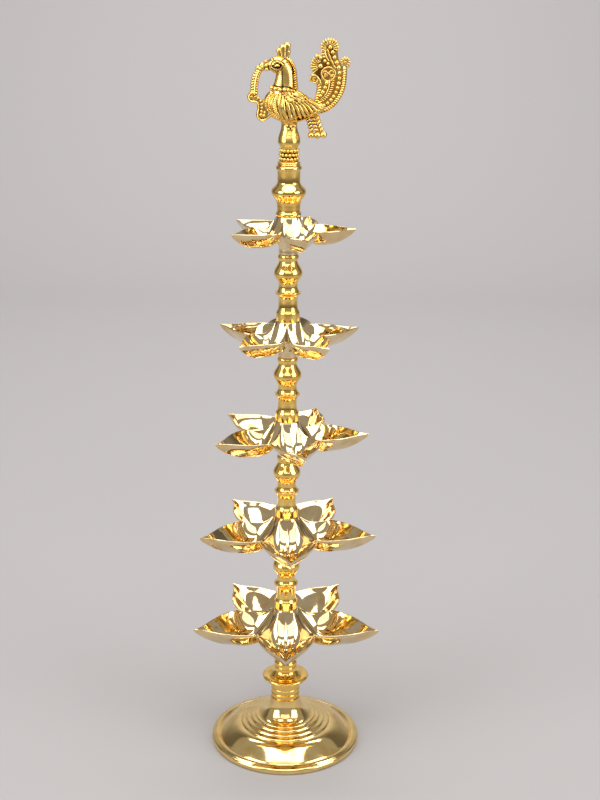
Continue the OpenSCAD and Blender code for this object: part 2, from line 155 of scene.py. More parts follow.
def polished_brass(name, bright, deep, rough, ring_mm, ring_depth, wave_mm, wave_depth, tarnish):
    """Polished brass. ring_mm is the spacing of lathe rings up the piece, or 0 for none."""
    material, tree = new_material(name)
    place = add(tree, "ShaderNodeTexCoord").outputs["Object"]
    cloud = add(tree, "ShaderNodeTexNoise", Vector=place, Scale=1 / (14 * MM), Detail=4.0,
                Roughness=0.6).outputs["Fac"]
    smudge = add(tree, "ShaderNodeTexNoise", Vector=place, Scale=1 / (3.5 * MM), Detail=6.0,
                 Roughness=0.7).outputs["Fac"]
    # Tarnish: a slightly deeper gold in soft patches, with tiny darker specks.
    patch = ramp(tree, cloud, [(0.42, 0.0), (0.7, 1.0)])
    speck = add(tree, "ShaderNodeTexVoronoi", {"feature": "F1"}, Vector=place,
                Scale=1 / (2.6 * MM)).outputs["Distance"]
    dots = ramp(tree, speck, [(0.03, 1.0), (0.08, 0.0)])
    mixed = add(tree, "ShaderNodeMix", {"data_type": "RGBA"}, s0=patch, s6=bright, s7=deep)
    toned = add(tree, "ShaderNodeMath", {"operation": "MULTIPLY"}, s0=dots, s1=tarnish)
    colour = add(tree, "ShaderNodeMix", {"data_type": "RGBA"}, s0=toned.outputs[0],
                 s6=mixed.outputs[2], s7=SPECK_BROWN).outputs[2]
    wiped = add(tree, "ShaderNodeMapRange", Value=smudge, s1=0.3, s2=0.75, s3=rough, s4=rough * SMUDGED)
    # Relief: slow waves from hand finishing, then the lathe's rings.
    slow = add(tree, "ShaderNodeTexNoise", Vector=place, Scale=1 / (wave_mm * MM), Detail=2.0,
               Roughness=0.4).outputs["Fac"]
    relief = add(tree, "ShaderNodeBump", Strength=1.0, Distance=wave_depth * MM, Height=slow)
    normal = relief.outputs["Normal"]
    if ring_mm:
        spot = add(tree, "ShaderNodeSeparateXYZ", Vector=place)
        flat = add(tree, "ShaderNodeCombineXYZ", X=spot.outputs["X"], Y=spot.outputs["Y"])
        out = add(tree, "ShaderNodeVectorMath", {"operation": "LENGTH"}, s0=flat.outputs[0])
        along = add(tree, "ShaderNodeMath", {"operation": "ADD"}, s0=out.outputs["Value"],
                    s1=spot.outputs["Z"])
        step = add(tree, "ShaderNodeMath", {"operation": "MULTIPLY"}, s0=along.outputs[0],
                   s1=1 / (ring_mm * MM))
        lined = add(tree, "ShaderNodeTexNoise", {"noise_dimensions": "1D"}, W=step.outputs[0],
                    Scale=1.0, Detail=3.0, Roughness=0.7).outputs["Fac"]
        rings = add(tree, "ShaderNodeBump", Strength=1.0, Distance=ring_depth * MM,
                    Height=lined, Normal=normal)
        normal = rings.outputs["Normal"]
    shader = add(tree, "ShaderNodeBsdfPrincipled", Metallic=1.0, Base_Color=colour,
                 Roughness=wiped.outputs[0], Normal=normal)
    add(tree, "ShaderNodeOutputMaterial", Surface=shader.outputs[0])
    return material


TURNED = polished_brass("polished lacquered turned brass", linear("#FFDB82"), linear("#F4C15E"),
                        rough=0.05, ring_mm=0.35, ring_depth=0.004, wave_mm=9, wave_depth=0.05,
                        tarnish=0.35)
CAST = polished_brass("mirror polished cast brass", linear("#EFDAAC"), linear("#E2C288"),
                      rough=0.04, ring_mm=0, ring_depth=0, wave_mm=13, wave_depth=0.16, tarnish=0.5)
SPUN = polished_brass("polished spun brass", linear("#F8DB96"), linear("#EAC276"),
                      rough=0.07, ring_mm=0.45, ring_depth=0.005, wave_mm=30, wave_depth=0.06,
                      tarnish=0.4)
BARE = polished_brass("machined brass", linear("#C9A45C"), linear("#A98240"),
                      rough=0.24, ring_mm=0.25, ring_depth=0.01, wave_mm=6, wave_depth=0.02,
                      tarnish=0.6)
for finish in (TURNED, CAST, SPUN, BARE):
    print("finish:", finish.name, len(finish.node_tree.nodes), "nodes")

# %% [markdown]
# ## Walls for turned pieces
# A turned piece is drawn as half of its outline: a list of radius and height. These small
# functions draw the curves that a turner cuts, and `soften` rounds every crisp corner a
# fraction of a millimetre, because a polished edge catches a thin line of light.

# %% Turned curves
# The least turn of a corner that is rounded, and the share of a line that rounding may take.
CRISP = math.radians(25)
CORNER_SHARE = 0.45
# A length too short to matter, in metres or in millimetres.
TINY = 1e-6


def blend_value(a, b, t):
    return a + (b - a) * t


def ease(r0, z0, r1, z1, n=16):
    """An S curve that leaves and arrives along the axis."""
    return [(blend_value(r0, r1, (1 - math.cos(math.pi * i / n)) / 2), blend_value(z0, z1, i / n))
            for i in range(n + 1)]


def flare(r0, z0, r1, z1, n=12):
    """A trumpet curve: along the axis at the start, flared at the end."""
    turn = math.pi / 2 / n
    return [(blend_value(r0, r1, 1 - math.cos(turn * i)), blend_value(z0, z1, math.sin(turn * i)))
            for i in range(n + 1)]


def roll(r, z0, z1, bulge, n=12):
    """A half-round moulding on a wall of radius r."""
    return [(r + bulge * math.sin(math.pi * i / n),
             (z0 + z1) / 2 - (z1 - z0) / 2 * math.cos(math.pi * i / n)) for i in range(n + 1)]


def soften(wall, radius=0.3):
    """Rounds each crisp corner by up to radius."""
    out = [wall[0]]
    for before, here, after in zip(wall, wall[1:], wall[2:]):
        a = Vector(before) - Vector(here)
        b = Vector(after) - Vector(here)
        if min(a.length, b.length) < TINY:
            continue
        if math.pi - a.angle(b) < CRISP:
            out.append(here)
            continue
        reach = min(radius, a.length * CORNER_SHARE, b.length * CORNER_SHARE)
        p, q = Vector(here) + a.normalized() * reach, Vector(here) + b.normalized() * reach
        for t in (0, 0.25, 0.5, 0.75, 1):
            point = p * (1 - t) ** 2 + Vector(here) * 2 * t * (1 - t) + q * t * t
            out.append((point.x, point.y))
    return out + [wall[-1]]


print("curve helpers ready")

# %% [markdown]
# ## Placing a piece
# Every finished piece stands for one CAD node: the node is hidden and the piece rides on the
# node's body. All of that is looked up in the frame,
# so a piece can't end up on the wrong body.

# %% Place and turn
BODY_OF = {node: body for body, nodes in frame["record"]["behaviour"]["bodies"].items()
           for node in nodes}
# Gap between a stud and its hole, in millimetres.
STUD_GAP = 0.05


def piece(bm, node, material, sharp=38):
    """Turns a bmesh into the finished piece for a CAD node. sharp is in degrees."""
    bmesh.ops.remove_doubles(bm, verts=bm.verts, dist=TINY)
    bmesh.ops.recalc_face_normals(bm, faces=bm.faces)
    mesh = bpy.data.meshes.new(node + "_look")
    bm.to_mesh(mesh)
    bm.free()
    mesh.polygons.foreach_set("use_smooth", [True] * len(mesh.polygons))
    mesh.set_sharp_from_angle(angle=math.radians(sharp))
    mesh.materials.append(material)
    obj = bpy.data.objects.new(node + "_look", mesh)
    bpy.context.scene.collection.objects.link(obj)
    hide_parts(node)
    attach(obj, BODY_OF[node])
    print(f"{node}: {len(mesh.polygons)} faces on body {BODY_OF[node]}")
    return obj


def spin_line(bm, places, centre, axis, steps):
    """Draws a line through the places and spins it a full turn round an axis."""
    points = [bm.verts.new(place) for place in places]
    edges = [bm.edges.new(pair) for pair in zip(points, points[1:])]
    bmesh.ops.spin(bm, geom=points + edges, cent=centre, axis=axis, angle=math.tau, steps=steps,
                   use_merge=True)


def spun(wall, steps=112):
    """Spins a wall of (radius, height) in millimetres round the stem's centre line."""
    bm = bmesh.new()
    spin_line(bm, [(r * MM, 0, z * MM) for r, z in wall], (0, 0, 0), (0, 0, 1), steps)
    bmesh.ops.remove_doubles(bm, verts=bm.verts, dist=TINY)
    return bm


def span(node):
    """Foot and head of a node in millimetres."""
    low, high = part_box(node)
    return low[2] / MM, high[2] / MM


def half_width(node):
    low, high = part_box(node)
    return (high[0] - low[0]) / 2 / MM


STUD_R = half_width("stud_1")
HOLE_R = STUD_R + STUD_GAP
GRIP = (span("stud_1")[1] - span("stud_1")[0] - (span("tray_1")[1] - span("tray_1")[0])) / 2
HOLE_DEPTH = GRIP + 1
print("stud radius", round(STUD_R, 3), "grip", round(GRIP, 2))


def with_holes(wall, foot, head, low_r=HOLE_R):
    """Adds a blind hole at each end of a solid wall, so a lifted piece shows its socket."""
    low = [(0, foot + HOLE_DEPTH), (low_r, foot + HOLE_DEPTH), (low_r, foot)]
    top = [(HOLE_R, head), (HOLE_R, head - HOLE_DEPTH), (0, head - HOLE_DEPTH)]
    return low + wall + top


# %% [markdown]
# ## The stem sections
# The four sections between the trays are alike: a plain band, a bell, a knife-edged bead
# between two waists, a vase bulb and a collar. They are turned from bar, so one wall is
# spun once for each, between the foot and the head of its own node.

# %% Stem sections


def stem_wall(foot, head, bulb):
    tall = head - foot
    band, waist, bead, collar = bulb * 0.835, bulb * 0.669, bulb * 0.901, bulb * 0.736
    band_top = foot + tall * 0.134
    collar_foot = head - tall * 0.078

    def up(share):
        return blend_value(band_top, collar_foot, share)

    return ([(band - 0.35, foot), (band, foot + 0.35), (band, band_top - 0.3)]
            + flare(waist, up(0.19), band - 0.6, up(0.02))[::-1]
            + flare(waist, up(0.22), bead, up(0.35))
            + flare(waist, up(0.5), bead, up(0.38))[::-1]
            + ease(waist, up(0.53), bulb, up(0.735), 24)
            + ease(bulb, up(0.75), waist - 0.3, up(0.985), 24)
            + roll(collar - 0.9, collar_foot, head, 0.9))


for number in (1, 2, 3, 4):
    node = f"stem_{number}"
    foot, head = span(node)
    wall = soften(stem_wall(foot, head, half_width(node)), 0.35)
    piece(spun(with_holes(wall, foot, head)), node, TURNED)

# %% [markdown]
# ## The top stem
# A rounder piece carries the finial: a bulb between two plain necks and two end rings.

# %% Top stem


def top_stem_wall(foot, head, bulb):
    tall = head - foot
    ring, neck = bulb * 0.745, bulb * 0.662

    def up(share):
        return foot + tall * share

    return (roll(ring - 1, up(0), up(0.085), 1)
            + ease(neck, up(0.1), neck + 0.3, up(0.24), 6)
            + ease(neck + 0.6, up(0.27), bulb, up(0.48), 24)
            + ease(bulb, up(0.5), neck, up(0.68), 24)
            + [(neck, up(0.9))]
            + roll(ring - 1, up(0.915), up(1), 1))


foot, head = span("top_stem")
wall = soften(top_stem_wall(foot, head, half_width("top_stem")), 0.4)
piece(spun(with_holes(wall, foot, head)), "top_stem", TURNED)

# %% [markdown]
# ## The pedestal
# A drum stands on the base and carries a wide flange with a thin lip, a rounded ring and a
# collar under the lowest tray. The drum's two fine grooves are cut by the turner's point.

# %% Pedestal
# The drum's radius as a share of the flange's. The base is drawn to fit it.
DRUM_SHARE = 0.626


def pedestal_wall(foot, top, flange):
    drum, swell, waist, collar = flange * DRUM_SHARE, flange * 0.493, flange * 0.384, flange * 0.422
    flange_z = blend_value(foot, top, 0.36)
    swell_z = blend_value(foot, top, 0.575)
    groove = [(drum, foot + 4.4), (drum - 0.7, foot + 4.9), (drum, foot + 5.4)]
    fine = [(drum + 0.1, foot + 9.6), (drum - 0.25, foot + 9.9), (drum + 0.1, foot + 10.2)]
    return ([(drum - 0.8, foot), (drum, foot + 0.8)] + groove + fine
            + [(drum + 0.3, flange_z - 2), (flange - 1.2, flange_z - 1.2)]
            + roll(flange - 1.2, flange_z - 1.2, flange_z + 1.2, 1.2)
            + flare(swell - 0.8, swell_z - 4.6, flange - 2.2, flange_z + 1.6, 18)[::-1]
            + roll(swell - 1.2, swell_z - 3, swell_z + 3, 1.2, 16)
            + ease(waist + 0.2, swell_z + 4.5, waist + 0.2, top - 12, 4)
            + ease(waist + 0.2, top - 11, waist - 0.2, top - 5.5, 6)
            + roll(collar - 0.9, top - 4.5, top, 0.9))


foot, head = span("pedestal")
wall = soften(pedestal_wall(foot, head, half_width("pedestal")), 0.3)
# The base stud is a tight fit in the pedestal's foot, so that hole has no gap.
piece(spun(with_holes(wall, foot, head, STUD_R)), "pedestal", TURNED)

# %% [markdown]
# ## The base
# The base is a thin shell, spun over a former from a disc of sheet and finished on the
# lathe: a rolled rim, a wide convex shoulder, three stepped rings and a bell that rises to
# the pedestal. It is hollow underneath, and only the ring under the rim touches the floor.

# %% Base shell


def base_walls(rim, tall, drum):
    shell, rim_h, rim_w = 2.0, 7.0, 7.3
    arc = 18
    shoulder, steps, step_w, step_rise = rim * 0.6, 3, 4.5, 2.15
    bell = shoulder - steps * step_w
    shoulder_z = tall * 0.407
    bell_z = shoulder_z + steps * step_rise
    seat = drum + 0.4
    quarter = [math.sin(math.pi / 2 * i / arc) for i in range(arc + 1)]
    outside = [(rim - 1.6, 0)] + roll(rim - 1.6, 0.2, rim_h - 1.4, 1.6)
    outside += [(rim - 3.2, rim_h - 0.75), (rim - 5, rim_h - 0.2), (rim - rim_w + 0.9, rim_h - 0.1),
                (rim - rim_w + 0.2, rim_h - 0.9), (rim - rim_w - 0.4, rim_h - 1.0)]
    outside += [(blend_value(rim - rim_w - 0.6, shoulder, i / arc), blend_value(rim_h - 0.6, shoulder_z, q))
                for i, q in enumerate(quarter)]
    for i in range(steps):
        edge_r, edge_z = shoulder - step_w * i, shoulder_z + step_rise * i
        outside += [(edge_r - 0.35, edge_z + 0.9), (edge_r - 0.8, edge_z + 1.35),
                    (edge_r - 1.7, edge_z + 1.6), (edge_r - 3.2, edge_z + 1.85),
                    (edge_r - step_w, edge_z + step_rise)]
    outside += flare(seat, tall, bell - 0.3, bell_z + 0.5, 24)[::-1]
    inner_rim = rim - 1.6 - shell * 1.6
    inside = [(inner_rim, 0), (inner_rim, rim_h - 1.4 - shell * 0.6)]
    inside += [(blend_value(rim - rim_w - shell, shoulder - shell * 0.4, i / arc),
                blend_value(rim_h - 0.6, shoulder_z, q) - shell * 1.25) for i, q in enumerate(quarter)]
    inside += [(bell - shell * 0.4, bell_z - shell * 1.25)]
    inside += flare(seat - shell, tall - shell, bell - shell, bell_z - shell * 0.9, 24)[::-1]
    return outside, inside


foot, head = span("base_dish")
outside, inside = base_walls(half_width("base_dish"), head, half_width("pedestal") * DRUM_SHARE)
closed = soften(outside, 0.25) + [(HOLE_R, head), (HOLE_R, inside[-1][1])] + soften(inside, 0.3)[::-1]
piece(spun(closed + closed[:1], 160), "base_dish", SPUN)

# %% [markdown]
# ## Washer and nut
# They sit out of sight under the base, but they show when the lamp is turned over. The nut's
# corners are cut by a cone, which leaves the curved edge that real nuts have.

# %% Washer and nut


def rings_to_skin(rings, bridged=False):
    """Extrudes a loop of points ring by ring, where each ring is a list of places. The skin ends in
    a face at each end, or is bridged from its last ring back to its first."""
    def edges_of(loop):
        return [bm.edges.get(pair) for pair in zip(loop, loop[1:] + loop[:1])]

    bm = bmesh.new()
    start = bmesh.ops.create_circle(bm, segments=len(rings[0]), radius=1)["verts"]
    loop = start[:1]
    while len(loop) < len(start):
        loop.append(next(v for v in (e.other_vert(loop[-1]) for e in loop[-1].link_edges)
                         if v not in loop[-2:]))
    for vert, place in zip(loop, rings[0]):
        vert.co = place
    first = loop
    for ring in rings[1:]:
        grown = bmesh.ops.extrude_edge_only(bm, edges=edges_of(loop))["geom"]
        fresh = {item for item in grown if isinstance(item, bmesh.types.BMVert)}
        loop = [next(e.other_vert(vert) for e in vert.link_edges if e.other_vert(vert) in fresh)
                for vert in loop]
        for vert, place in zip(loop, ring):
            vert.co = place
    if bridged:
        bmesh.ops.bridge_loops(bm, edges=edges_of(loop) + edges_of(first))
    else:
        bmesh.ops.contextual_create(bm, geom=loop)
        bmesh.ops.contextual_create(bm, geom=first)
    return bm


def nut_rings(foot, head, flat, sides=48):
    """Rings of a nut. flat is half the width across its flats."""
    def ring(radius, z, hexagon):
        out = []
        for i in range(sides):
            turn = math.tau * i / sides
            six = (turn % (math.tau / 6)) - math.tau / 12
            r = min(flat / math.cos(six), radius) if hexagon else radius
            out.append(Vector((r * math.cos(turn), r * math.sin(turn), z)) * MM)
        return out

    corner = flat / math.cos(math.tau / 12)
    lead_in, face, cone = STUD_R + 0.6, flat * 0.97, corner * 0.95
    cone_rise, corner_rise = 0.5, 1.3
    return [ring(STUD_R, foot, False), ring(lead_in, foot, False), ring(face, foot, True),
            ring(cone, foot + cone_rise, True), ring(corner, foot + corner_rise, True),
            ring(corner, head - corner_rise, True), ring(cone, head - cone_rise, True),
            ring(face, head, True), ring(lead_in, head, False), ring(STUD_R, head, False)]


foot, head = span("base_nut")
low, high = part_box("base_nut")
piece(rings_to_skin(nut_rings(foot, head, (high[1] - low[1]) / 2 / MM), True), "base_nut", BARE, 25)
foot, head = span("base_washer")
wide, hole = half_width("base_washer"), HOLE_R + 0.2
washer_wall = [(hole, foot), (wide, foot), (wide, head), (hole, head), (hole, foot)]
piece(spun(soften(washer_wall, 0.25)), "base_washer", BARE)

# %% [markdown]
# ## Threaded studs
# Each stud is a plain rod with a 1.25 mm thread, which shows when a piece is screwed upward.
# A thread is a ridge that climbs one pitch a turn, so the rings of the skin swell and shrink
# with height minus turn. The rod ends in a short taper that finds the hole.

# %% Studs
PITCH = 1.25
THREAD_DEPTH = 0.5
RINGS_PER_TURN = 5
# The taper at each end: how much it takes off the radius, over what length, from what edge.
TAPER_CUT, TAPER_LENGTH, TAPER_EDGE = 0.8, 0.9, 0.1


def stud_rings(foot, head, sides=20):
    rings = []
    count = int((head - foot) / PITCH * RINGS_PER_TURN)
    for j in range(count + 1):
        z = blend_value(foot, head, j / count)
        taper = min(1.0, (z - foot + TAPER_EDGE) / TAPER_LENGTH, (head - z + TAPER_EDGE) / TAPER_LENGTH)
        ring = []
        for i in range(sides):
            phase = (z / PITCH - i / sides) % 1
            crest = STUD_R - THREAD_DEPTH * abs(phase * 2 - 1) ** 1.3
            r = min(crest, STUD_R - TAPER_CUT * (1 - taper))
            turn = math.tau * i / sides
            ring.append(Vector((r * math.cos(turn), r * math.sin(turn), z)) * MM)
        rings.append(ring)
    return rings


for node in ("base_stud", "stud_1", "stud_2", "stud_3", "stud_4", "stud_5", "finial_stud"):
    piece(rings_to_skin(stud_rings(*span(node))), node, BARE, 60)

# %% [markdown]
# ## The petal trays
# Each tray is one casting: five pointed bowls round a hub, filed and polished by hand. Its
# reach, turn and rim height are read from its CAD node. The skin starts as a loop of points
# at the foot of the bore and grows ring by ring: up the neck, out under the bowls, round the
# rim, back over the inside and down the bore. Loops of points crowd together near the tips,
# where the outline is sharpest. Small uneven touches keep the five petals from matching
# exactly, as on a hand-finished casting.

# %% Petal shape
PETALS = 5
# Shares of the tray's reach: the notch between two petals, the throat, and a bowl's depth.
NOTCH_SHARE = 0.52
THROAT_SHARE = 0.36
BOWL_SHARE = 0.215
# In millimetres: the wall, the half thickness of the rounded rim, and the hub and neck.
WALL = 2.2
EDGE = WALL * 0.36
HUB_R = 10.4
HUB_RISE = 10.0
HUB_DROP = 22.5
NECK_R = 8.0
# How far, and how near the centre line, the rim is pinched in to draw the tip out.
PINCH = 0.034
PINCH_AT = 0.15
# From a petal's centre line (0) to the notch beside it (1).
HALF = [0, 0.006, 0.02, 0.045, 0.08, 0.13, 0.2, 0.28, 0.37, 0.46, 0.55, 0.64, 0.73, 0.81, 0.88, 0.94, 0.98]
COLUMNS = []
for k in range(PETALS):
    COLUMNS += [(k, s, 1) for s in HALF] + [(k, 1.0, 1)] + [(k + 1, s, -1) for s in HALF[:0:-1]]
# Rings of the skin under the bowls and inside them.
UNDER_RINGS, INSIDE_RINGS = 24, 26
print("columns round a tray:", len(COLUMNS))


def measure_tray(node):
    """Reach, turn in degrees and rim height of a tray, from its farthest point."""
    places = [v.co for v in frame["nodes"][node].data.vertices]
    reach = max(p.xy.length for p in places)
    tips = [p for p in places if p.xy.length > reach - 0.05 * MM]
    tip = max(tips, key=lambda p: p.z)
    turn = math.degrees(math.atan2(tip.y, tip.x))
    return reach / MM, turn, span(node)[1] - HUB_RISE


def uneven(seed, k, amount):
    """A small fixed offset for petal k, different for every seed."""
    return amount * math.sin(seed * 12.9 + (k % PETALS) * 78.2)


def tray_point(tip, seed, column, r=HUB_R):
    """Angle and rim radius of a column of the tray, and its inside height at radius r."""
    k, s, side = column
    reach = tip * (1 - (0.006 + uneven(seed, k, 0.006)) * (1 - s))
    pinch = PINCH * s / PINCH_AT * math.exp(1 - s / PINCH_AT)
    rim = reach * (1 - (1 - NOTCH_SHARE) * s ** 0.8 - pinch)
    u = min(1, max(0, (r - HUB_R) / (rim - HUB_R)))
    deep = BOWL_SHARE * tip * (1 + uneven(seed + 1, k, 0.03) * (1 - s))
    bowl = deep * math.sin(math.pi * u ** 0.84) ** 0.8 * max(0, math.cos(math.pi / 2 * s)) ** 0.62
    throat_r = tip * THROAT_SHARE
    throat = (HUB_RISE - 0.3) * min(1, max(0, (throat_r - r) / (throat_r - HUB_R))) ** 2
    angle = math.tau / PETALS * (k + side * s / 2)
    return angle, rim, throat - bowl


def tray_rings(tip, turn, rim_z, seed):
    rings = []

    def ring(place):
        out = []
        for column in COLUMNS:
            angle, r, z = place(column)
            angle += math.radians(turn)
            out.append(Vector((r * math.cos(angle), r * math.sin(angle), rim_z + z)) * MM)
        rings.append(out)

    def angle_of(column):
        return tray_point(tip, seed, column)[0]

    def plain(r, z):
        ring(lambda column: (angle_of(column), r, z))

    plain(HOLE_R, -HUB_DROP)
    plain(NECK_R - 0.4, -HUB_DROP)
    plain(NECK_R, -HUB_DROP + 0.4)
    for z in (-20.5, -18.5, -17):
        plain(NECK_R, z)

    def under(share):
        def place(column):
            angle, rim, _ = tray_point(tip, seed, column)
            r = blend_value(NECK_R, rim - EDGE, share)
            skin = tray_point(tip, seed, column, r)[2] - WALL * blend_value(1, 0.7, share ** 4)
            join = min(1, share / 0.3)
            join = join * join * (3 - 2 * join)
            return angle, r, blend_value(-15.5 + 9 * share, skin, join)
        ring(place)

    for i in range(1, UNDER_RINGS + 1):
        under((i / UNDER_RINGS) ** 0.92)

    def lip(turn_deg):
        def place(column):
            angle, rim, _ = tray_point(tip, seed, column)
            c, s = math.cos(math.radians(turn_deg)), math.sin(math.radians(turn_deg))
            return angle, rim - EDGE + EDGE * c, -EDGE + EDGE * s
        ring(place)

    for turn_deg in (-60, -30, 0, 30, 55, 75, 90):
        lip(turn_deg)

    def inside(share):
        def place(column):
            angle, rim, _ = tray_point(tip, seed, column)
            r = blend_value(HUB_R, rim - EDGE, share)
            return angle, r, tray_point(tip, seed, column, r + EDGE * share ** 6)[2]
        ring(place)

    for i in range(INSIDE_RINGS - 1, -1, -1):
        inside((i / INSIDE_RINGS) ** 1.08)
    plain(HUB_R - 0.15, HUB_RISE - 0.12)
    plain(HUB_R - 0.4, HUB_RISE)
    plain(HOLE_R, HUB_RISE)
    plain(HOLE_R, -4)
    return rings


# %% [markdown]
# ## Casting the five trays
# The same skin serves all five. Subdivision then rounds it, as filing and polishing do.

# %% Trays
for number in (1, 2, 3, 4, 5):
    node = f"tray_{number}"
    tip, turn, rim_z = measure_tray(node)
    tray = piece(rings_to_skin(tray_rings(tip, turn, rim_z, number), True), node, CAST, 50)
    smooth = tray.modifiers.new("smooth", "SUBSURF")
    smooth.levels = smooth.render_levels = 1
    print(node, "reach", round(tip, 1), "turn", round(turn, 1), "rim at", round(rim_z, 1))

# %% [markdown]
# ## Antiqued brass
# The peacock is cast from a carved pattern, dipped to darken it and then buffed. The buff
# reaches only the high places, so dark brown stays in every groove. The script measures how
# deep each point sits among its neighbours and stores it in an attribute called `recess`,
# and this material turns that into patina. The metal is duller where it is darker.

# %% Antique brass


def antique_brass():
    material, tree = new_material("antiqued cast brass")
    place = add(tree, "ShaderNodeTexCoord").outputs["Object"]
    recess = add(tree, "ShaderNodeAttribute", {"attribute_name": "recess"}).outputs["Fac"]
    grain = add(tree, "ShaderNodeTexNoise", Vector=place, Scale=1 / (0.5 * MM), Detail=4.0,
                Roughness=0.65).outputs["Fac"]
    cloud = add(tree, "ShaderNodeTexNoise", Vector=place, Scale=1 / (5 * MM), Detail=3.0,
                Roughness=0.55).outputs["Fac"]
    shift = add(tree, "ShaderNodeMapRange", Value=grain, s1=0.3, s2=0.7, s3=-0.14, s4=0.14)
    depth = add(tree, "ShaderNodeMath", {"operation": "ADD", "use_clamp": True}, s0=recess,
                s1=shift.outputs[0]).outputs[0]
    worn = ramp(tree, cloud, [(0.35, linear("#F0C662")), (0.65, linear("#FADA86"))])
    mid = add(tree, "ShaderNodeMix", {"data_type": "RGBA"},
              s0=ramp(tree, depth, [(0.18, 0.0), (0.5, 1.0)]), s6=worn, s7=linear("#B8853A"))
    colour = add(tree, "ShaderNodeMix", {"data_type": "RGBA"},
                 s0=ramp(tree, depth, [(0.48, 0.0), (0.88, 1.0)]), s6=mid.outputs[2],
                 s7=linear("#2E1908"))
    rough = add(tree, "ShaderNodeMapRange", Value=depth, s1=0.1, s2=0.8, s3=0.2, s4=0.55)
    pits = add(tree, "ShaderNodeTexNoise", Vector=place, Scale=1 / (0.9 * MM), Detail=5.0,
               Roughness=0.6).outputs["Fac"]
    relief = add(tree, "ShaderNodeBump", Strength=1.0, Distance=0.06 * MM, Height=pits)
    shader = add(tree, "ShaderNodeBsdfPrincipled", Metallic=1.0, Base_Color=colour.outputs[2],
                 Roughness=rough.outputs[0], Normal=relief.outputs["Normal"])
    add(tree, "ShaderNodeOutputMaterial", Surface=shader.outputs[0])
    return material


ANTIQUE = antique_brass()
print("finish:", ANTIQUE.name)

# %% [markdown]
# ## Sculpting helpers
# The bird is built up as a modeller works in wax: big smooth forms first, then cords, ribs
# and beads laid on them. `loft` skins a run of oval rings with rounded ends. `flat_cord` bends
# one in the plane of the bird, `twin_cord` puts a round one on both faces of the tail, and
# `laid_cord` lays one on the skin of the big forms, on both sides of the bird. All sizes are
# millimetres from the foot of the finial, as x and height.

# %% Lofts, cords and beads


def through(rows, per):
    """More rows on a smooth curve through the given rows."""
    out = []
    for i in range(len(rows) - 1):
        a, b, c, d = (rows[max(i - 1, 0)], rows[i], rows[i + 1], rows[min(i + 2, len(rows) - 1)])
        for step in range(per):
            t = step / per
            out.append(tuple(0.5 * (2 * q + (r - p) * t + (2 * p - 5 * q + 4 * r - s) * t * t
                                    + (3 * q - p - 3 * r + s) * t ** 3)
                             for p, q, r, s in zip(a, b, c, d)))
    return out + [tuple(rows[-1])]


def evenly(rows, count):
    """The same curve as count + 1 rows at even distances."""
    lengths = [0.0]
    for a, b in zip(rows, rows[1:]):
        lengths.append(lengths[-1] + math.hypot(a[0] - b[0], a[1] - b[1]))
    out, i = [], 0
    for k in range(count + 1):
        goal = lengths[-1] * k / count
        while i < len(rows) - 2 and lengths[i + 1] < goal:
            i += 1
        t = min(1, max(0, (goal - lengths[i]) / max(lengths[i + 1] - lengths[i], 1e-9)))
        out.append(tuple(blend_value(a, b, t) for a, b in zip(rows[i], rows[i + 1])))
    return out


def join(bm, extra):
    """Moves what is in extra on to the main bench."""
    mesh = bpy.data.meshes.new("wax")
    extra.to_mesh(mesh)
    extra.free()
    bm.from_mesh(mesh)
    bpy.data.meshes.remove(mesh)


# Share of its space that a rib fills, and the rings of skin that draw one rib.
RIB_WIDTH = 0.74
RINGS_PER_RIB = 6
# Turns in degrees of the rings in a rounded end, and the end's length for its half width.
CAP_TURNS = (82, 60, 32)
CAP_LENGTH = 0.8


def loft(bm, stations, sides=12, ribs=None):
    """Skins ovals, each a centre and two half axes. ribs is (count, depth, slant)."""
    def cap(at, nearby, turn_list):
        centre, a, b = at
        way = (centre - nearby).normalized() * min(a.length, b.length) * CAP_LENGTH
        return [(centre + way * math.sin(math.radians(t)), a * math.cos(math.radians(t)),
                 b * math.cos(math.radians(t))) for t in turn_list]

    body = [(c, a, b, i / (len(stations) - 1)) for i, (c, a, b) in enumerate(stations)]
    start = [(*s, 0) for s in cap(stations[0], stations[1][0], CAP_TURNS)]
    end = [(*s, 1) for s in cap(stations[-1], stations[-2][0], CAP_TURNS[::-1])]
    rings = []
    for centre, a, b, t in start + body + end:
        ring = []
        for j in range(sides):
            c, s = math.cos(math.tau * j / sides), math.sin(math.tau * j / sides)
            swell = 1.0
            if ribs:
                count, depth, slant = ribs
                valley = abs(2 * ((t * count + slant * c) % 1) - 1)
                swell = 1 - depth + depth * math.sqrt(max(0, 1 - (valley / RIB_WIDTH) ** 2))
            ring.append(centre + (a * c + b * s) * swell)
        rings.append(ring)
    join(bm, rings_to_skin(rings))


def flat_cord(bm, rows, sides=12, per=4, ribs=None, face=0):
    """A cord in the plane of the bird. Rows are x, height, half width, half depth. With face
    at -1 or 1 it is a round cord on that face instead of one right through."""
    rows = through(rows, per)
    if ribs:
        rows = evenly(rows, ribs[0] * RINGS_PER_RIB)
    stations = []
    for i, (x, h, half, depth) in enumerate(rows):
        a, b = rows[max(i - 1, 0)], rows[min(i + 1, len(rows) - 1)]
        along = Vector((b[0] - a[0], 0, b[1] - a[1])).normalized()
        across = Vector((-along.z, 0, along.x))
        level = face * (depth - half)
        stations.append((Vector((x, level, h)), across * half, Vector((0, half if face else depth, 0))))
    loft(bm, stations, sides, ribs)


def twin_cord(bm, rows, sides=10, per=4):
    """The same round cord on both faces of the tail."""
    for face in (-1, 1):
        flat_cord(bm, rows, sides, per, face=face)


# A level well outside the bird, from which its skin is looked for.
OUTSIDE = 60


def on_skin(skin, x, h, side):
    """The point and normal of the big forms at x and h, seen from one side."""
    hit, normal, _, _ = skin.ray_cast(Vector((x, side * OUTSIDE, h)), Vector((0, -side, 0)))
    return hit, normal


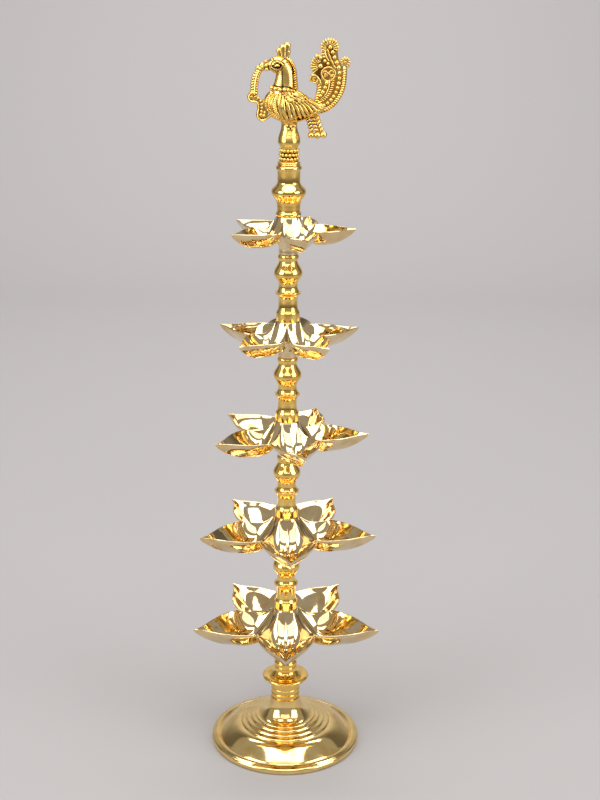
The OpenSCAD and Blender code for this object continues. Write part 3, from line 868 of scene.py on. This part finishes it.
# Places that keep their dark stain, and how far past its cord a stain spreads.
STAINED = []
STAIN_SPREAD = 1.25
# Height of a laid cord for its width.
CORD_HEIGHT = 0.9


def laid_cord(bm, skin, rows, sides=8, per=3, ribs=None, lift=0.0, stain=False):
    """A cord laid on the skin. Rows are x, height, half width. A stained one stays dark."""
    for side in (-1, 1):
        path = through(rows, per)
        if ribs:
            path = evenly(path, ribs[0] * RINGS_PER_RIB)
        found = [(on_skin(skin, x, h, side), half) for x, h, half in path]
        found = [(hit, normal, half) for (hit, normal), half in found if hit is not None]
        if len(found) < 3:
            continue
        if stain:
            STAINED.extend((hit, half * STAIN_SPREAD) for hit, _, half in found)
        stations = []
        for i, (hit, normal, half) in enumerate(found):
            along = (found[min(i + 1, len(found) - 1)][0] - found[max(i - 1, 0)][0]).normalized()
            across = along.cross(normal).normalized()
            stations.append((hit + normal * lift, across * half, across.cross(along) * half * CORD_HEIGHT))
        loft(bm, stations, sides, ribs)


def ball(bm, place, r, rounds=2):
    extra = bmesh.new()
    bmesh.ops.create_icosphere(extra, subdivisions=rounds, radius=r, matrix=Matrix.Translation(place))
    join(bm, extra)


def beads(bm, skin, rows, sink=0.35):
    """Round beads set into the skin on both sides. Rows are x, height, radius."""
    for side in (-1, 1):
        for x, h, r in rows:
            hit, normal = on_skin(skin, x, h, side)
            if hit is not None:
                ball(bm, hit + normal * r * (1 - sink), r)


def pill(bm, x, h, r, depth, edge=1.0, steps=36):
    """A round disc across the bird with a rounded edge."""
    wall = [(0, -depth), (r - edge, -depth), (r - edge * 0.3, -depth + edge * 0.3), (r, -depth + edge),
            (r, depth - edge), (r - edge * 0.3, depth - edge * 0.3), (r - edge, depth), (0, depth)]
    spin_line(bm, [(x + away, y, h) for away, y in wall], (x, 0, h), (0, 1, 0), steps)


# Share of its space that a flute fills.
FLUTE_WIDTH = 0.8


def fan(bm, x, h, inner, outer, start, end, count, depth):
    """Round flutes that spread from a centre, on both faces of the tail."""
    gap = abs(math.radians(end - start)) / (count - 1) / 2 * FLUTE_WIDTH
    for i in range(count):
        turn = math.radians(blend_value(start, end, i / (count - 1)))
        way = Vector((math.cos(turn), 0, math.sin(turn)))
        across = Vector((-way.z, 0, way.x))
        for side in (-1, 1):
            stations = []
            for t in (0, 0.4, 0.75, 1):
                r = blend_value(inner, outer * (1 - gap * CAP_LENGTH), t)
                level = Vector((x, side * (depth - r * gap), h))
                stations.append((level + way * r, across * r * gap, Vector((0, r * gap, 0))))
            loft(bm, stations, 12)


print("sculpting helpers ready")

# %% [markdown]
# ## The big forms
# Foot, body, neck, head, beak, the plate of the tail and the web behind the garland. Each is
# a closed form and they run into one another, as pieces of wax do.

# %% Big forms
FINIAL_FOOT = span("peacock_finial")[0]
PLATE = 3.4


def big_forms():
    bm = bmesh.new()
    foot = soften([(0, 13), (HOLE_R, 13), (HOLE_R, 0), (9.3, 0), (9.6, 0.3), (9.6, 1.5), (9.3, 1.8),
                   (9.3, 2.1), (9.5, 2.4), (9.5, 3.0), (8.6, 3.7), (7.3, 4), (7.1, 6), (7.0, 10),
                   (6.9, 14)] + ease(7.2, 14.7, 9.3, 19.3, 8) + ease(9.3, 19.9, 6.6, 33, 16)
                  + ease(6.6, 33.5, 8.6, 42, 8), 0.25) + [(0, 42)]
    spin_line(bm, [(r, 0, h) for r, h in foot], (0, 0, 0), (0, 0, 1), 56)
    flat_cord(bm, [(-19.6, 50.6, 3.6, 3.4), (-18, 50.9, 7, 5.6), (-15, 51, 10, 7.6),
                   (-11, 50.4, 12.2, 9.2), (-4.6, 49.5, 13.6, 10), (2, 49.4, 13.2, 9.6),
                   (8.4, 48.4, 11.2, 8.4), (15, 47.3, 8.5, 6.8), (21, 47, 6.2, 5.4),
                   (26.5, 48.2, 4, 4)], 44, 6)
    flat_cord(bm, [(-4.6, 55, 10.2, 8.8), (-4.6, 60, 10.2, 7.8), (-3.8, 66, 8.9, 6.6),
                   (-3.4, 72, 7.9, 6.1), (-4.4, 77, 7.2, 5.9), (-6.2, 81.4, 6.2, 5.6)], 36, 6)
    head = Matrix.Translation((-9.4, 0, 81.2)) @ Matrix.Diagonal((7.6, 6.3, 7.2, 1))
    bmesh.ops.create_uvsphere(bm, u_segments=40, v_segments=24, radius=1, matrix=head)
    flat_cord(bm, [(-13, 81.6, 5.6, 5), (-16.5, 80.6, 4.2, 4), (-19.4, 79.9, 3.1, 3.2),
                   (-22, 79.4, 2.2, 2.6)], 20, 5)
    plate = [(21.5, 47), (28, 47.6), (35.6, 52), (40.2, 58), (42.4, 66), (43, 74), (42.6, 80),
             (39.6, 86), (38.6, 92), (36.4, 94), (28.4, 94), (26.4, 89), (23, 87), (19, 83.4),
             (18.2, 78.6), (20.4, 74), (22.8, 68), (21.8, 61), (22.4, 55), (20.4, 51)]
    web = [(-26.8, 53), (-22.6, 53.6), (-19, 50), (-18.4, 46), (-17, 43), (-19.6, 39), (-25, 38.6),
           (-26, 42), (-25, 46), (-25.6, 50)]
    for outline in (plate, web):
        sheet = [bm.verts.new((x, -PLATE / 2, h)) for x, h in through(outline + outline[:1], 4)[:-1]]
        grown = bmesh.ops.extrude_face_region(bm, geom=[bm.faces.new(sheet)])["geom"]
        bmesh.ops.translate(bm, verts=[g for g in grown if isinstance(g, bmesh.types.BMVert)],
                            vec=(0, PLATE, 0))
    pill(bm, 32.4, 96.0, 6.2, 1.6)
    pill(bm, 32.4, 90.6, 6.2, 1.6)
    pill(bm, 45.2, 84.0, 3.2, 1.3)
    bmesh.ops.recalc_face_normals(bm, faces=bm.faces)
    return bm


bird = big_forms()
skin = BVHTree.FromBMesh(bird)
print("big forms:", len(bird.faces), "faces")

# %% [markdown]
# ## Head, neck and garland
# An almond eye inside a second almond, a column of beads behind the beak, a fluted crest and
# a plaited ridge down the back of the neck. The bird holds a garland in its beak, which hangs
# in two swags and ends under the breast.

# %% Beak beads and eye
ball(bird, (-25.6, 0, 78.7), 2.0, 3)
ball(bird, (-22.4, 0, 80.7), 2.3, 3)
ball(bird, (-21.6, 0, 77.2), 1.4)
beads(bird, skin, [(-19.0, 83.2, 1.2), (-18.7, 81.0, 1.45), (-18.2, 78.4, 1.45), (-17.4, 76.2, 1.2)], 0.25)
ball(bird, (-19.4, 0, 83.4), 1.5)
laid_cord(bird, skin, [(-16.9, 84.4, 0.3), (-17.3, 81, 0.4), (-16.6, 77.4, 0.3)], 8, 4, lift=-0.2,
          stain=True)
laid_cord(bird, skin, [(-20.7, 82.2, 0.3), (-20.6, 79.8, 0.3), (-20.1, 77.8, 0.3)], 8, 4, lift=-0.2,
          stain=True)
laid_cord(bird, skin, [(-11.8, 80.7, 0.6), (-10.9, 81.0, 0.95), (-9.4, 81.1, 0.95), (-8.2, 80.9, 0.6)], 12, 4)
# Each line round the eye: its half width, its lift off the skin, its stain and its route.
EYE = {"upper groove": (0.42, -0.2, True, [(-13.6, 80.2), (-12.0, 82.0), (-10.0, 82.8), (-8.0, 82.3),
                                          (-6.4, 81.2)]),
       "lower groove": (0.42, -0.2, True, [(-6.4, 81.2), (-8.0, 79.9), (-10.0, 79.2), (-12.0, 79.3),
                                          (-13.6, 80.2)]),
       "upper lid": (0.45, 0.0, False, [(-14.8, 80.2), (-12.8, 82.9), (-10.2, 83.9), (-7.4, 83.3),
                                       (-5.4, 81.3)]),
       "lower lid": (0.4, 0.0, False, [(-5.4, 81.1), (-7.4, 78.9), (-10.0, 78.1), (-12.6, 78.2),
                                      (-14.8, 80.0)]),
       "brow": (0.36, -0.2, True, [(-15.2, 81.6), (-13.2, 84.2), (-10.2, 85.3), (-6.8, 84.4),
                                  (-4.6, 82.2)]),
       "cheek": (0.3, -0.2, True, [(-14.6, 78.6), (-12.6, 77.0), (-10.0, 76.6), (-7.2, 77.4),
                                  (-5.2, 79.6)])}
for half, lift, stain, line in EYE.values():
    laid_cord(bird, skin, [(x, h, half) for x, h in line], 8, 5, lift=lift, stain=stain)
print("beak beads and eye:", len(bird.faces), "faces so far")

# %% Crest, plait and necklace
for foot_x, tip_x, tip_h, wide in ((-7.4, -8.8, 92.6, 2.7), (-5.0, -5.4, 95.4, 2.8),
                                   (-2.8, -1.9, 97.2, 2.9)):
    flat_cord(bird, [(foot_x, 87.6, 2.2, 1.7), (blend_value(foot_x, tip_x, 0.55), 91.0, wide * 0.85, 1.9),
                     (tip_x, tip_h, wide, 2.2)], 16, 4)
flat_cord(bird, [(-2.0, 88.4, 1.9, 1.7), (-0.9, 91.6, 1.9, 2.0)], 16, 4)
laid_cord(bird, skin, [(-11.6, 88.0, 0.7), (-8, 88.7, 0.8), (-3.6, 88.0, 0.7)], 8, 4)
flat_cord(bird, [(-2.2, 87.0, 1.3, 1.6), (1.2, 83.6, 1.6, 2.4), (3.4, 79.4, 1.7, 3.0),
                 (4.4, 74.4, 1.8, 3.6), (4.8, 69, 1.9, 3.9), (5.2, 62.6, 2.1, 4.2)], 16, 4, (15, 0.3, 0.5))
laid_cord(bird, skin, [(-0.9, 85.6, 0.5), (1.9, 79.4, 0.6), (2.6, 72, 0.6), (2.9, 64.2, 0.6)], 8, 5,
          lift=-0.35, stain=True)
laid_cord(bird, skin, [(-5.9, 76.6, 0.4), (-5.7, 71, 0.45), (-5.5, 65.6, 0.4)], 8, 4, lift=-0.25, stain=True)
beads(bird, skin, [(-13.6, 62.9, 1.7), (-10.8, 62.4, 1.8), (-7.6, 62.0, 1.85), (-4.2, 62.1, 1.8),
                   (-1.2, 61.8, 1.5), (1.2, 61.2, 1.2), (3.2, 60.8, 1.1)], 0.3)
laid_cord(bird, skin, [(-12.4, 65.0, 0.5), (-8.4, 64.4, 0.6), (-3.2, 64.4, 0.6), (3.4, 63.2, 0.5)], 8, 4,
          lift=-0.25, stain=True)
print("crest, plait and necklace:", len(bird.faces), "faces so far")

# %% Garland
flat_cord(bird, [(-23.2, 78.6, 2.0, 2.0), (-25.2, 75.8, 2.9, 2.2), (-27.2, 72.0, 3.3, 2.3),
                 (-28.4, 67.2, 3.5, 2.3), (-28.8, 61.6, 3.5, 2.3), (-29.0, 57.4, 3.4, 2.3)],
          16, 4, (11, 0.27, 0.3))
twin_cord(bird, [(-24.8, 76.4, 0.7, 2.6), (-26.6, 72.4, 0.75, 2.7), (-27.8, 67.2, 0.75, 2.7),
                 (-28.2, 61.6, 0.75, 2.7), (-28.4, 57.4, 0.7, 2.7)], 8, 4)
flat_cord(bird, [(-26.4, 58.6, 1.0, 2.4), (-29.2, 59.2, 1.1, 2.5), (-32.0, 58.2, 1.2, 2.6),
                 (-33.2, 55.2, 1.2, 2.6), (-31.8, 52.6, 1.2, 2.6), (-28.8, 52.0, 1.2, 2.6),
                 (-26.4, 51.4, 1.2, 2.5), (-25.2, 49.0, 1.2, 2.5), (-25.2, 45.4, 1.2, 2.5),
                 (-26.0, 42.0, 1.2, 2.5), (-25.2, 38.6, 1.2, 2.5), (-22.2, 36.9, 1.2, 2.5),
                 (-18.6, 38.2, 1.2, 2.5), (-15.0, 41.2, 1.1, 2.4)], 12, 5)
pill(bird, -30.6, 55.3, 1.6, 2.7, 0.7, 20)
pill(bird, -27.6, 55.0, 1.7, 2.2, 0.7, 20)
GARLAND_BEADS = [(-25.2, 54.6, 1.4), (-23.2, 52.4, 1.5), (-22.4, 49.6, 1.5), (-22.2, 46.8, 1.5),
                 (-22.6, 44.0, 1.6), (-23.0, 41.0, 1.9), (-20.4, 40.6, 1.6), (-19.8, 43.2, 1.5)]
for x, h, r in GARLAND_BEADS:
    pill(bird, x, h, r * 0.9, 1.4, 0.5, 16)
    for side in (-1, 1):
        ball(bird, (x, side * 0.9, h), r)
print("garland:", len(bird.faces), "faces so far")

# %% [markdown]
# ## Breast, wing and foot
# A ladder band runs down the breast, a plain roll stands beside it, and the wing's feathers
# fan out from the necklace to the belly line. Three rows of beads circle the foot.

# %% Breast bands
laid_cord(bird, skin, [(-13.2, 60.0, 1.0), (-16.4, 56.9, 1.3), (-18.4, 53.2, 1.4), (-18.9, 49.6, 1.4),
                       (-17.3, 45.6, 1.35), (-13.9, 42.2, 1.3), (-9.6, 39.4, 1.1), (-6.6, 37.6, 0.9)],
          8, 5, (17, 0.5, 0.0))
laid_cord(bird, skin, [(-11.8, 59.4, 0.8), (-14.6, 55.6, 1.0), (-16.2, 52.2, 1.1), (-16.5, 49.0, 1.1),
                       (-14.9, 45.2, 1.1), (-11.8, 42.2, 1.0), (-8.0, 39.4, 0.8)], 8, 5, (16, 0.5, 0.0))
laid_cord(bird, skin, [(-10.8, 58.4, 0.4), (-13.2, 54.9, 0.45), (-14.6, 51.7, 0.5), (-14.8, 48.5, 0.5),
                       (-13.0, 44.3, 0.5), (-10.2, 41.4, 0.45), (-6.8, 38.7, 0.4)], 6, 4)
laid_cord(bird, skin, [(-9.6, 58.4, 0.9), (-11.6, 53.7, 1.7), (-11.9, 49.4, 1.9), (-10.8, 45.0, 1.8),
                       (-8.4, 41.4, 1.4), (-5.2, 38.3, 0.8)], 12, 5, (14, 0.2, 0.0))
print("breast bands:", len(bird.faces), "faces so far")

# %% Wing feathers
# How much fuller the feathers are than their drawn lines.
FEATHER_SWELL = 1.08
FEATHERS = [
    [(-7.0, 59.6, 0.7), (-8.2, 53.9, 1.1), (-7.9, 48.5, 1.2), (-6.2, 41.6, 1.0), (-3.8, 38.1, 0.7)],
    [(-5.2, 57.4, 0.8), (-5.0, 50.7, 1.6), (-4.2, 44.4, 1.8), (-1.6, 38.4, 1.2)],
    [(-2.4, 53.6, 0.7), (-1.0, 50.0, 1.2), (-0.1, 45.3, 1.5), (1.9, 38.7, 1.4)],
    [(0.8, 51.6, 0.7), (2.4, 48.8, 1.1), (3.6, 44.8, 1.4), (5.4, 39.3, 1.3)],
    [(3.4, 51.3, 0.6), (5.8, 48.6, 1.1), (7.4, 44.8, 1.4), (9.2, 39.9, 1.3)],
    [(5.6, 51.9, 0.6), (8.6, 48.8, 1.1), (10.6, 45.0, 1.3), (12.9, 40.7, 1.2)],
    [(7.4, 53.0, 0.6), (11.0, 49.6, 1.1), (13.2, 46.4, 1.3), (16.1, 41.9, 1.2)],
    [(8.9, 54.4, 0.6), (13.0, 50.6, 1.0), (15.8, 47.9, 1.2), (19.3, 43.4, 1.1)],
    [(10.4, 55.6, 0.6), (15.0, 51.4, 1.0), (18.5, 48.9, 1.1), (22.4, 45.4, 1.0)],
    [(12.4, 56.2, 0.5), (17.0, 52.4, 0.9), (21.0, 50.0, 1.0), (25.2, 47.4, 0.9)],
    [(-0.6, 58.9, 0.6), (2.2, 56.6, 0.8), (6.0, 54.6, 0.8), (8.4, 53.6, 0.6)],
    [(1.6, 59.8, 0.6), (4.6, 57.9, 0.8), (8.4, 55.9, 0.8), (10.2, 55.2, 0.5)],
]
for feather in FEATHERS:
    laid_cord(bird, skin, [(x, h, half * FEATHER_SWELL) for x, h, half in feather], 12, 5)
beads(bird, skin, [(-5.2, 59.4, 0.8), (-3.9, 57.6, 0.85), (-2.7, 55.8, 0.85), (-1.0, 54.3, 0.9),
                   (1.1, 53.3, 0.9), (3.3, 52.7, 0.9)], 0.2)
laid_cord(bird, skin, [(-10.0, 38.9, 0.6), (-4.3, 37.4, 0.8), (1.8, 36.9, 0.9), (8.3, 38.0, 0.9),
                       (15.4, 40.5, 0.9), (21.6, 43.8, 0.9), (26.8, 47.2, 0.8)], 8, 5)
flat_cord(bird, [(-9.4, 38.6, 0.9, 4.2), (-4, 36.5, 1.1, 6.4), (1.8, 35.9, 1.2, 6.8),
                 (8.2, 37.2, 1.2, 5.8), (15.4, 39.6, 1.1, 4.4), (22, 43.2, 1.1, 3.2)], 16, 4)
print("wing feathers:", len(bird.faces), "faces so far")

# %% Foot beads and panel
FOOT_BEADS, FOOT_BEAD_R, FOOT_R = 15, 1.55, 7.2
beads(bird, skin, [(-1.6, 33.2, 1.25), (1.2, 32.7, 1.25), (4.0, 33.1, 1.25), (-0.4, 30.6, 1.2),
                   (2.3, 30.5, 1.2)], 0.3)
for panel in ([(-1.2, 28.6, 0.35), (1.2, 28.4, 0.4), (3.6, 28.6, 0.35)],
              [(-1.2, 28.6, 0.35), (-2.4, 26, 0.45), (-4.0, 23.6, 0.45)],
              [(3.6, 28.6, 0.35), (4.6, 26, 0.45), (5.8, 23.6, 0.45)],
              [(-2.4, 26.2, 0.3), (1.0, 25.8, 0.35), (4.6, 26.2, 0.3)],
              [(-4.0, 23.6, 0.45), (1.0, 22.9, 0.55), (5.8, 23.6, 0.45)]):
    laid_cord(bird, skin, panel, 6, 4)
for row, height in enumerate((5.8, 9.2, 12.6)):
    for i in range(FOOT_BEADS):
        turn = math.tau * (i + row / 2) / FOOT_BEADS
        ball(bird, (FOOT_R * math.cos(turn), FOOT_R * math.sin(turn), height), FOOT_BEAD_R)
print("foot beads and panel:", len(bird.faces), "faces so far")

# %% [markdown]
# ## Tail and tassels
# The tail is one flat casting with the same pattern on both faces. Its thick ribbed cords run
# right through it, and its flutes, curls and fine cords are round ones laid on each face. A
# ribbed spine carries a curl at its tip, a string of beads lies inside it, and a ribbed band
# winds up into the round boss. Three ribbed tassels hang behind, each ending in a ball.

# %% Tail spine and beads
# How far a tail bead's centre lies from the middle of the plate.
BEAD_LEVEL = 2.7


def bead_pair(x, h, r):
    for side in (-1, 1):
        ball(bird, (x, side * BEAD_LEVEL, h), r)


def curl(x, h, radius, wide, start, sweep_deg, depth, count=14):
    """A cord bent round a centre."""
    rows = []
    for i in range(count + 1):
        turn = math.radians(start + sweep_deg * i / count)
        rows.append((x + radius * math.cos(turn), h + radius * math.sin(turn), wide, depth))
    twin_cord(bird, rows, 10, 2)


flat_cord(bird, [(22, 44.8, 2.2, 3.0), (29.4, 46.4, 2.2, 3.1), (35.4, 50.6, 2.2, 3.0),
                 (40.2, 56.8, 2.2, 2.9), (43.0, 64, 2.2, 2.8), (44.0, 72, 2.1, 2.7),
                 (44.2, 79.6, 2.0, 2.5)], 16, 4, (24, 0.2, 0.25))
flat_cord(bird, [(23, 42.9, 0.6, 2.2), (30.0, 44.5, 0.6, 2.2), (36.6, 49.0, 0.6, 2.2),
                 (41.7, 55.8, 0.6, 2.2), (44.8, 63.6, 0.6, 2.1), (45.8, 72, 0.6, 2.0),
                 (45.9, 79.6, 0.6, 1.8)], 8, 4)
for x, h, r in ((32.6, 95.6, 1.9), (34.6, 91.7, 1.9), (36.2, 87.7, 1.9), (38.1, 83.6, 1.9),
                (39.6, 79.7, 1.9), (40.4, 75.5, 1.8), (40.4, 71.2, 1.8), (39.9, 67.3, 1.7),
                (39.0, 63.6, 1.7), (37.8, 60.1, 1.6), (36.0, 56.8, 1.6), (33.8, 53.9, 1.6),
                (31.2, 51.4, 1.5), (28.2, 49.6, 1.5), (30.2, 67.4, 1.9), (29.0, 63.8, 1.8),
                (27.1, 60.1, 1.8), (25.3, 57.2, 1.6), (24.9, 80.8, 2.1), (28.4, 84.8, 1.5),
                (30.9, 82.8, 1.5), (25.0, 87.2, 1.5), (21.9, 88.6, 1.8), (24.3, 51.6, 1.5)):
    bead_pair(x, h, r)
print("tail spine and beads:", len(bird.faces), "faces so far")

# %% Tail flutes, curls and bands
fan(bird, 32.2, 95.2, 3.0, 7.8, -16, 196, 12, 3.2)
for x, h in ((26.6, 92.2), (26.7, 89.9), (27.4, 87.8)):
    twin_cord(bird, [(x - 1.0, h - 0.2, 0.9, 2.9), (x + 0.6, h + 0.3, 1.0, 3.0),
                     (x + 2.6, h + 0.6, 0.8, 3.0)], 12, 3)
twin_cord(bird, [(30.4, 93.9, 0.8, 3.3), (32.0, 88.7, 0.9, 3.5), (34.6, 83.0, 0.9, 3.5),
                 (36.9, 79.2, 0.8, 3.4)], 10, 4)
twin_cord(bird, [(28.4, 92.6, 0.6, 3.0), (29.4, 88.2, 0.6, 3.1), (31.6, 85.0, 0.6, 3.1)], 8, 4)
fan(bird, 25.6, 80.8, 3.4, 9.1, 104, 220, 8, 3.2)
curl(31.4, 74.4, 5.5, 0.8, -60, 330, 3.7, 20)
curl(28.8, 74.6, 1.9, 1.0, 150, -250, 3.5, 10)
curl(34.0, 75.2, 1.9, 0.7, 20, 300, 3.5, 10)
for side in (-1, 1):
    ball(bird, (28.9, side * 2.9, 74.4), 1.2)
flat_cord(bird, [(34.9, 73.6, 1.6, 3.2), (35.1, 70.6, 2.1, 3.2), (34.8, 66.4, 2.3, 3.2),
                 (33.4, 61.2, 2.3, 3.2), (31.0, 57.2, 2.2, 3.2), (27.8, 53.8, 2.0, 3.2),
                 (25.2, 52.0, 1.6, 3.0)], 16, 4, (14, 0.27, 0.3))
twin_cord(bird, [(32.6, 69.6, 0.6, 3.3), (32.2, 65.2, 0.5, 3.3), (30.8, 60.8, 0.5, 3.3),
                 (28.4, 57.0, 0.5, 3.3), (25.6, 54.2, 0.5, 3.3)], 8, 4)
curl(19.9, 70.3, 3.1, 0.75, -95, 300, 3.3, 18)
pill(bird, 19.9, 70.3, 2.6, 2.3, 0.8, 24)
curl(19.9, 70.3, 1.1, 0.5, 30, 270, 3.0, 8)
twin_cord(bird, [(22.4, 72.4, 0.9, 3.1), (24.2, 69.4, 1.0, 3.2), (25.2, 66.2, 0.9, 3.1)], 12, 4)
flat_cord(bird, [(22.8, 68.6, 2.0, 2.8), (24.4, 64.4, 2.3, 2.9), (24.0, 60.0, 2.4, 2.9),
                 (23.0, 56.0, 2.4, 2.9), (22.4, 52.0, 2.4, 2.9)], 16, 4, (8, 0.28, 0.2))
fan(bird, 45.1, 84.0, 1.8, 4.5, -30, 200, 8, 2.3)
ball(bird, (45.1, 0, 83.8), 1.9)
ball(bird, (47.2, 0, 81.0), 1.5)
print("tail flutes, curls and bands:", len(bird.faces), "faces so far")

# %% Tassels
flat_cord(bird, [(14.6, 41.4, 2.3, 2.3), (16.0, 36.4, 2.4, 2.4), (17.4, 31.6, 2.4, 2.4),
                 (18.4, 28.2, 2.1, 2.1)], 16, 3, (5, 0.5, 0.25))
flat_cord(bird, [(18.4, 42.4, 2.3, 2.5), (20.0, 37.2, 2.4, 2.6), (21.6, 32, 2.4, 2.6),
                 (22.9, 28.2, 2.2, 2.3)], 16, 3, (5, 0.5, -0.25))
flat_cord(bird, [(21.4, 43.2, 2.0, 2.2), (23.6, 37.4, 2.2, 2.2), (25.4, 32, 2.2, 2.2),
                 (27.1, 28.0, 2.0, 2.0)], 16, 3, (5, 0.4, 0.25))
ball(bird, (17.9, 0, 25.0), 2.7, 3)
ball(bird, (23.1, 0, 25.0), 3.0, 3)
ball(bird, (28.2, 0, 25.4), 2.9, 3)
print("tassels:", len(bird.faces), "faces so far")

# %% [markdown]
# ## Patina depth
# From each point, a few rays look outward over a small distance, and the share that strikes
# metal nearby says how sheltered the point is. The bend of the skin itself finds the fine
# valleys between ribs. The two together, with the stained grooves, become `recess`.

# %% Finish the bird
# Rays from each point, as lean and turn in radians: one straight out and two rings of three.
RAYS = [(0.0, 0.0), (0.55, 0.0), (0.55, 2.09), (0.55, 4.19), (1.0, 1.05), (1.0, 3.14), (1.0, 5.24)]
# Where a ray starts above the skin and how far it looks, in millimetres.
RAY_START, RAY_REACH = 0.08, 2.4
# How strongly shelter and the bend of the skin count.
SHELTER_GAIN, BEND_GAIN = 1.35, 1.9


def store_recess(obj, stained):
    """Writes 0 for an open point up to 1 for a fully sheltered one."""
    mesh = obj.data
    points = [v.co.copy() for v in mesh.vertices]
    normals = [v.normal.copy() for v in mesh.vertices]
    tree = BVHTree.FromPolygons(points, [tuple(p.vertices) for p in mesh.polygons])
    hollow, links = [0.0] * len(points), [0] * len(points)
    for edge in mesh.edges:
        a, b = edge.vertices
        way = (points[b] - points[a]).normalized()
        hollow[a] += way.dot(normals[a])
        hollow[b] -= way.dot(normals[b])
        links[a] += 1
        links[b] += 1
    values = []
    for i, (point, normal) in enumerate(zip(points, normals)):
        side = normal.orthogonal().normalized()
        other = normal.cross(side)
        start = point + normal * RAY_START * MM
        shelter = 0.0
        for tilt, turn in RAYS:
            way = normal * math.cos(tilt) + (side * math.cos(turn) + other * math.sin(turn)) * math.sin(tilt)
            hit = tree.ray_cast(start, way, RAY_REACH * MM)
            if hit[0] is not None:
                shelter += 1 - 0.5 * hit[3] / (RAY_REACH * MM)
        bend = hollow[i] / max(links[i], 1)
        values.append(min(1, max(0, shelter / len(RAYS) * SHELTER_GAIN + bend * BEND_GAIN)))
    marks = KDTree(len(stained))
    for i, (place, _) in enumerate(stained):
        marks.insert(place * MM + Vector((0, 0, FINIAL_FOOT * MM)), i)
    marks.balance()
    for i, point in enumerate(points):
        _, mark, away = marks.find(point)
        if away < stained[mark][1] * MM:
            values[i] = 1.0
    mesh.attributes.new("recess", "FLOAT", "POINT").data.foreach_set("value", values)
    return sum(values) / len(values)


bmesh.ops.scale(bird, vec=(MM, MM, MM), verts=bird.verts)
bmesh.ops.translate(bird, vec=(0, 0, FINIAL_FOOT * MM), verts=bird.verts)
peacock = piece(bird, "peacock_finial", ANTIQUE, 42)
print("mean recess", round(store_recess(peacock, STAINED), 3))

# %% [markdown]
# ## Studio
# Polished metal shows its surroundings, so the studio is part of the finish. The lamp stands
# on a pale sweep that is floor and backdrop in one sheet, of matt paper whose fibres only just
# break up its grey.

# %% Floor and backdrop


def matt_paper():
    material, tree = new_material("matt paper sweep")
    place = add(tree, "ShaderNodeTexCoord").outputs["Object"]
    fibre = add(tree, "ShaderNodeTexNoise", Vector=place, Scale=1 / (0.4 * MM), Detail=3.0).outputs["Fac"]
    tone = ramp(tree, fibre, [(0.3, linear("#A29F9F")), (0.7, linear("#A6A3A3"))])
    shader = add(tree, "ShaderNodeBsdfPrincipled", Base_Color=tone, Roughness=0.9)
    add(tree, "ShaderNodeOutputMaterial", Surface=shader.outputs[0])
    return material


def add_sweep():
    """Floor that curves up into a backdrop, spun round a corner from one straight edge."""
    bm = bmesh.new()
    near, far, lift, bend, half_wide = -9.0, 1.7, 3.2, 0.9, 7.0
    line = [bm.verts.new((side, near, 0)) for side in (-half_wide, half_wide)]
    edge = bm.edges.new(line)
    out = bmesh.ops.extrude_edge_only(bm, edges=[edge])["geom"]
    verts = [g for g in out if isinstance(g, bmesh.types.BMVert)]
    bmesh.ops.translate(bm, verts=verts, vec=(0, far - near, 0))
    edges = [g for g in out if isinstance(g, bmesh.types.BMEdge)]
    turned = bmesh.ops.spin(bm, geom=verts + edges, cent=(0, far, bend), axis=(1, 0, 0),
                            angle=math.pi / 2, steps=24)["geom_last"]
    last = [g for g in turned if isinstance(g, bmesh.types.BMEdge)]
    up = bmesh.ops.extrude_edge_only(bm, edges=last)["geom"]
    verts = [g for g in up if isinstance(g, bmesh.types.BMVert)]
    bmesh.ops.translate(bm, verts=verts, vec=(0, 0, lift))
    bmesh.ops.recalc_face_normals(bm, faces=bm.faces)
    mesh = bpy.data.meshes.new("sweep")
    bm.to_mesh(mesh)
    bm.free()
    mesh.polygons.foreach_set("use_smooth", [True] * len(mesh.polygons))
    obj = bpy.data.objects.new("sweep", mesh)
    bpy.context.scene.collection.objects.link(obj)
    mesh.materials.append(matt_paper())
    return obj


sweep = add_sweep()
print("sweep faces", len(sweep.data.polygons))

# %% [markdown]
# ## Lights
# Large soft boxes at the left, the right and overhead give the broad white reflections. A weak
# one in front lifts the bowls, and one behind the lamp washes the backdrop. The dimmer room
# between them gives the dark lines that make polished brass look polished. The plain display
# transform keeps the gold as saturated as it is on the real lamp.

# %% Lights
# The middle of the lamp, in metres, and each box: its place, aim, size and watts.
CENTRE = (0, 0, 0.3)
SOFT_BOXES = {
    "left box": ((-1.5, -1.0, 1.05), CENTRE, (1.1, 1.5), 20),
    "right box": ((1.55, -0.9, 1.0), CENTRE, (1.1, 1.5), 18),
    "top box": ((0.0, -0.3, 1.95), CENTRE, (1.6, 1.3), 25),
    "front fill": ((0.0, -1.9, 1.75), CENTRE, (2.0, 1.0), 11),
    "back wash": ((0.0, 1.2, 2.3), (0, 2.6, 0.8), (2.4, 0.8), 50),
}
ROOM_COLOUR, ROOM_STRENGTH = linear("#E4DFDA"), 0.48


def add_softbox(name, place, aim, size, watts):
    data = bpy.data.lights.new(name, "AREA")
    data.shape = "RECTANGLE"
    data.size, data.size_y = size
    data.energy = watts
    light = bpy.data.objects.new(name, data)
    bpy.context.scene.collection.objects.link(light)
    look = Vector(aim) - Vector(place)
    light.matrix_world = Matrix.Translation(place) @ look.to_track_quat("-Z", "Y").to_matrix().to_4x4()


for name, settings in SOFT_BOXES.items():
    add_softbox(name, *settings)
bpy.context.scene.view_settings.view_transform = "Standard"
world = bpy.data.worlds.new("room")
bpy.context.scene.world = world
world.use_nodes = True
room = world.node_tree.nodes["Background"].inputs
room["Color"].default_value = ROOM_COLOUR
room["Strength"].default_value = ROOM_STRENGTH
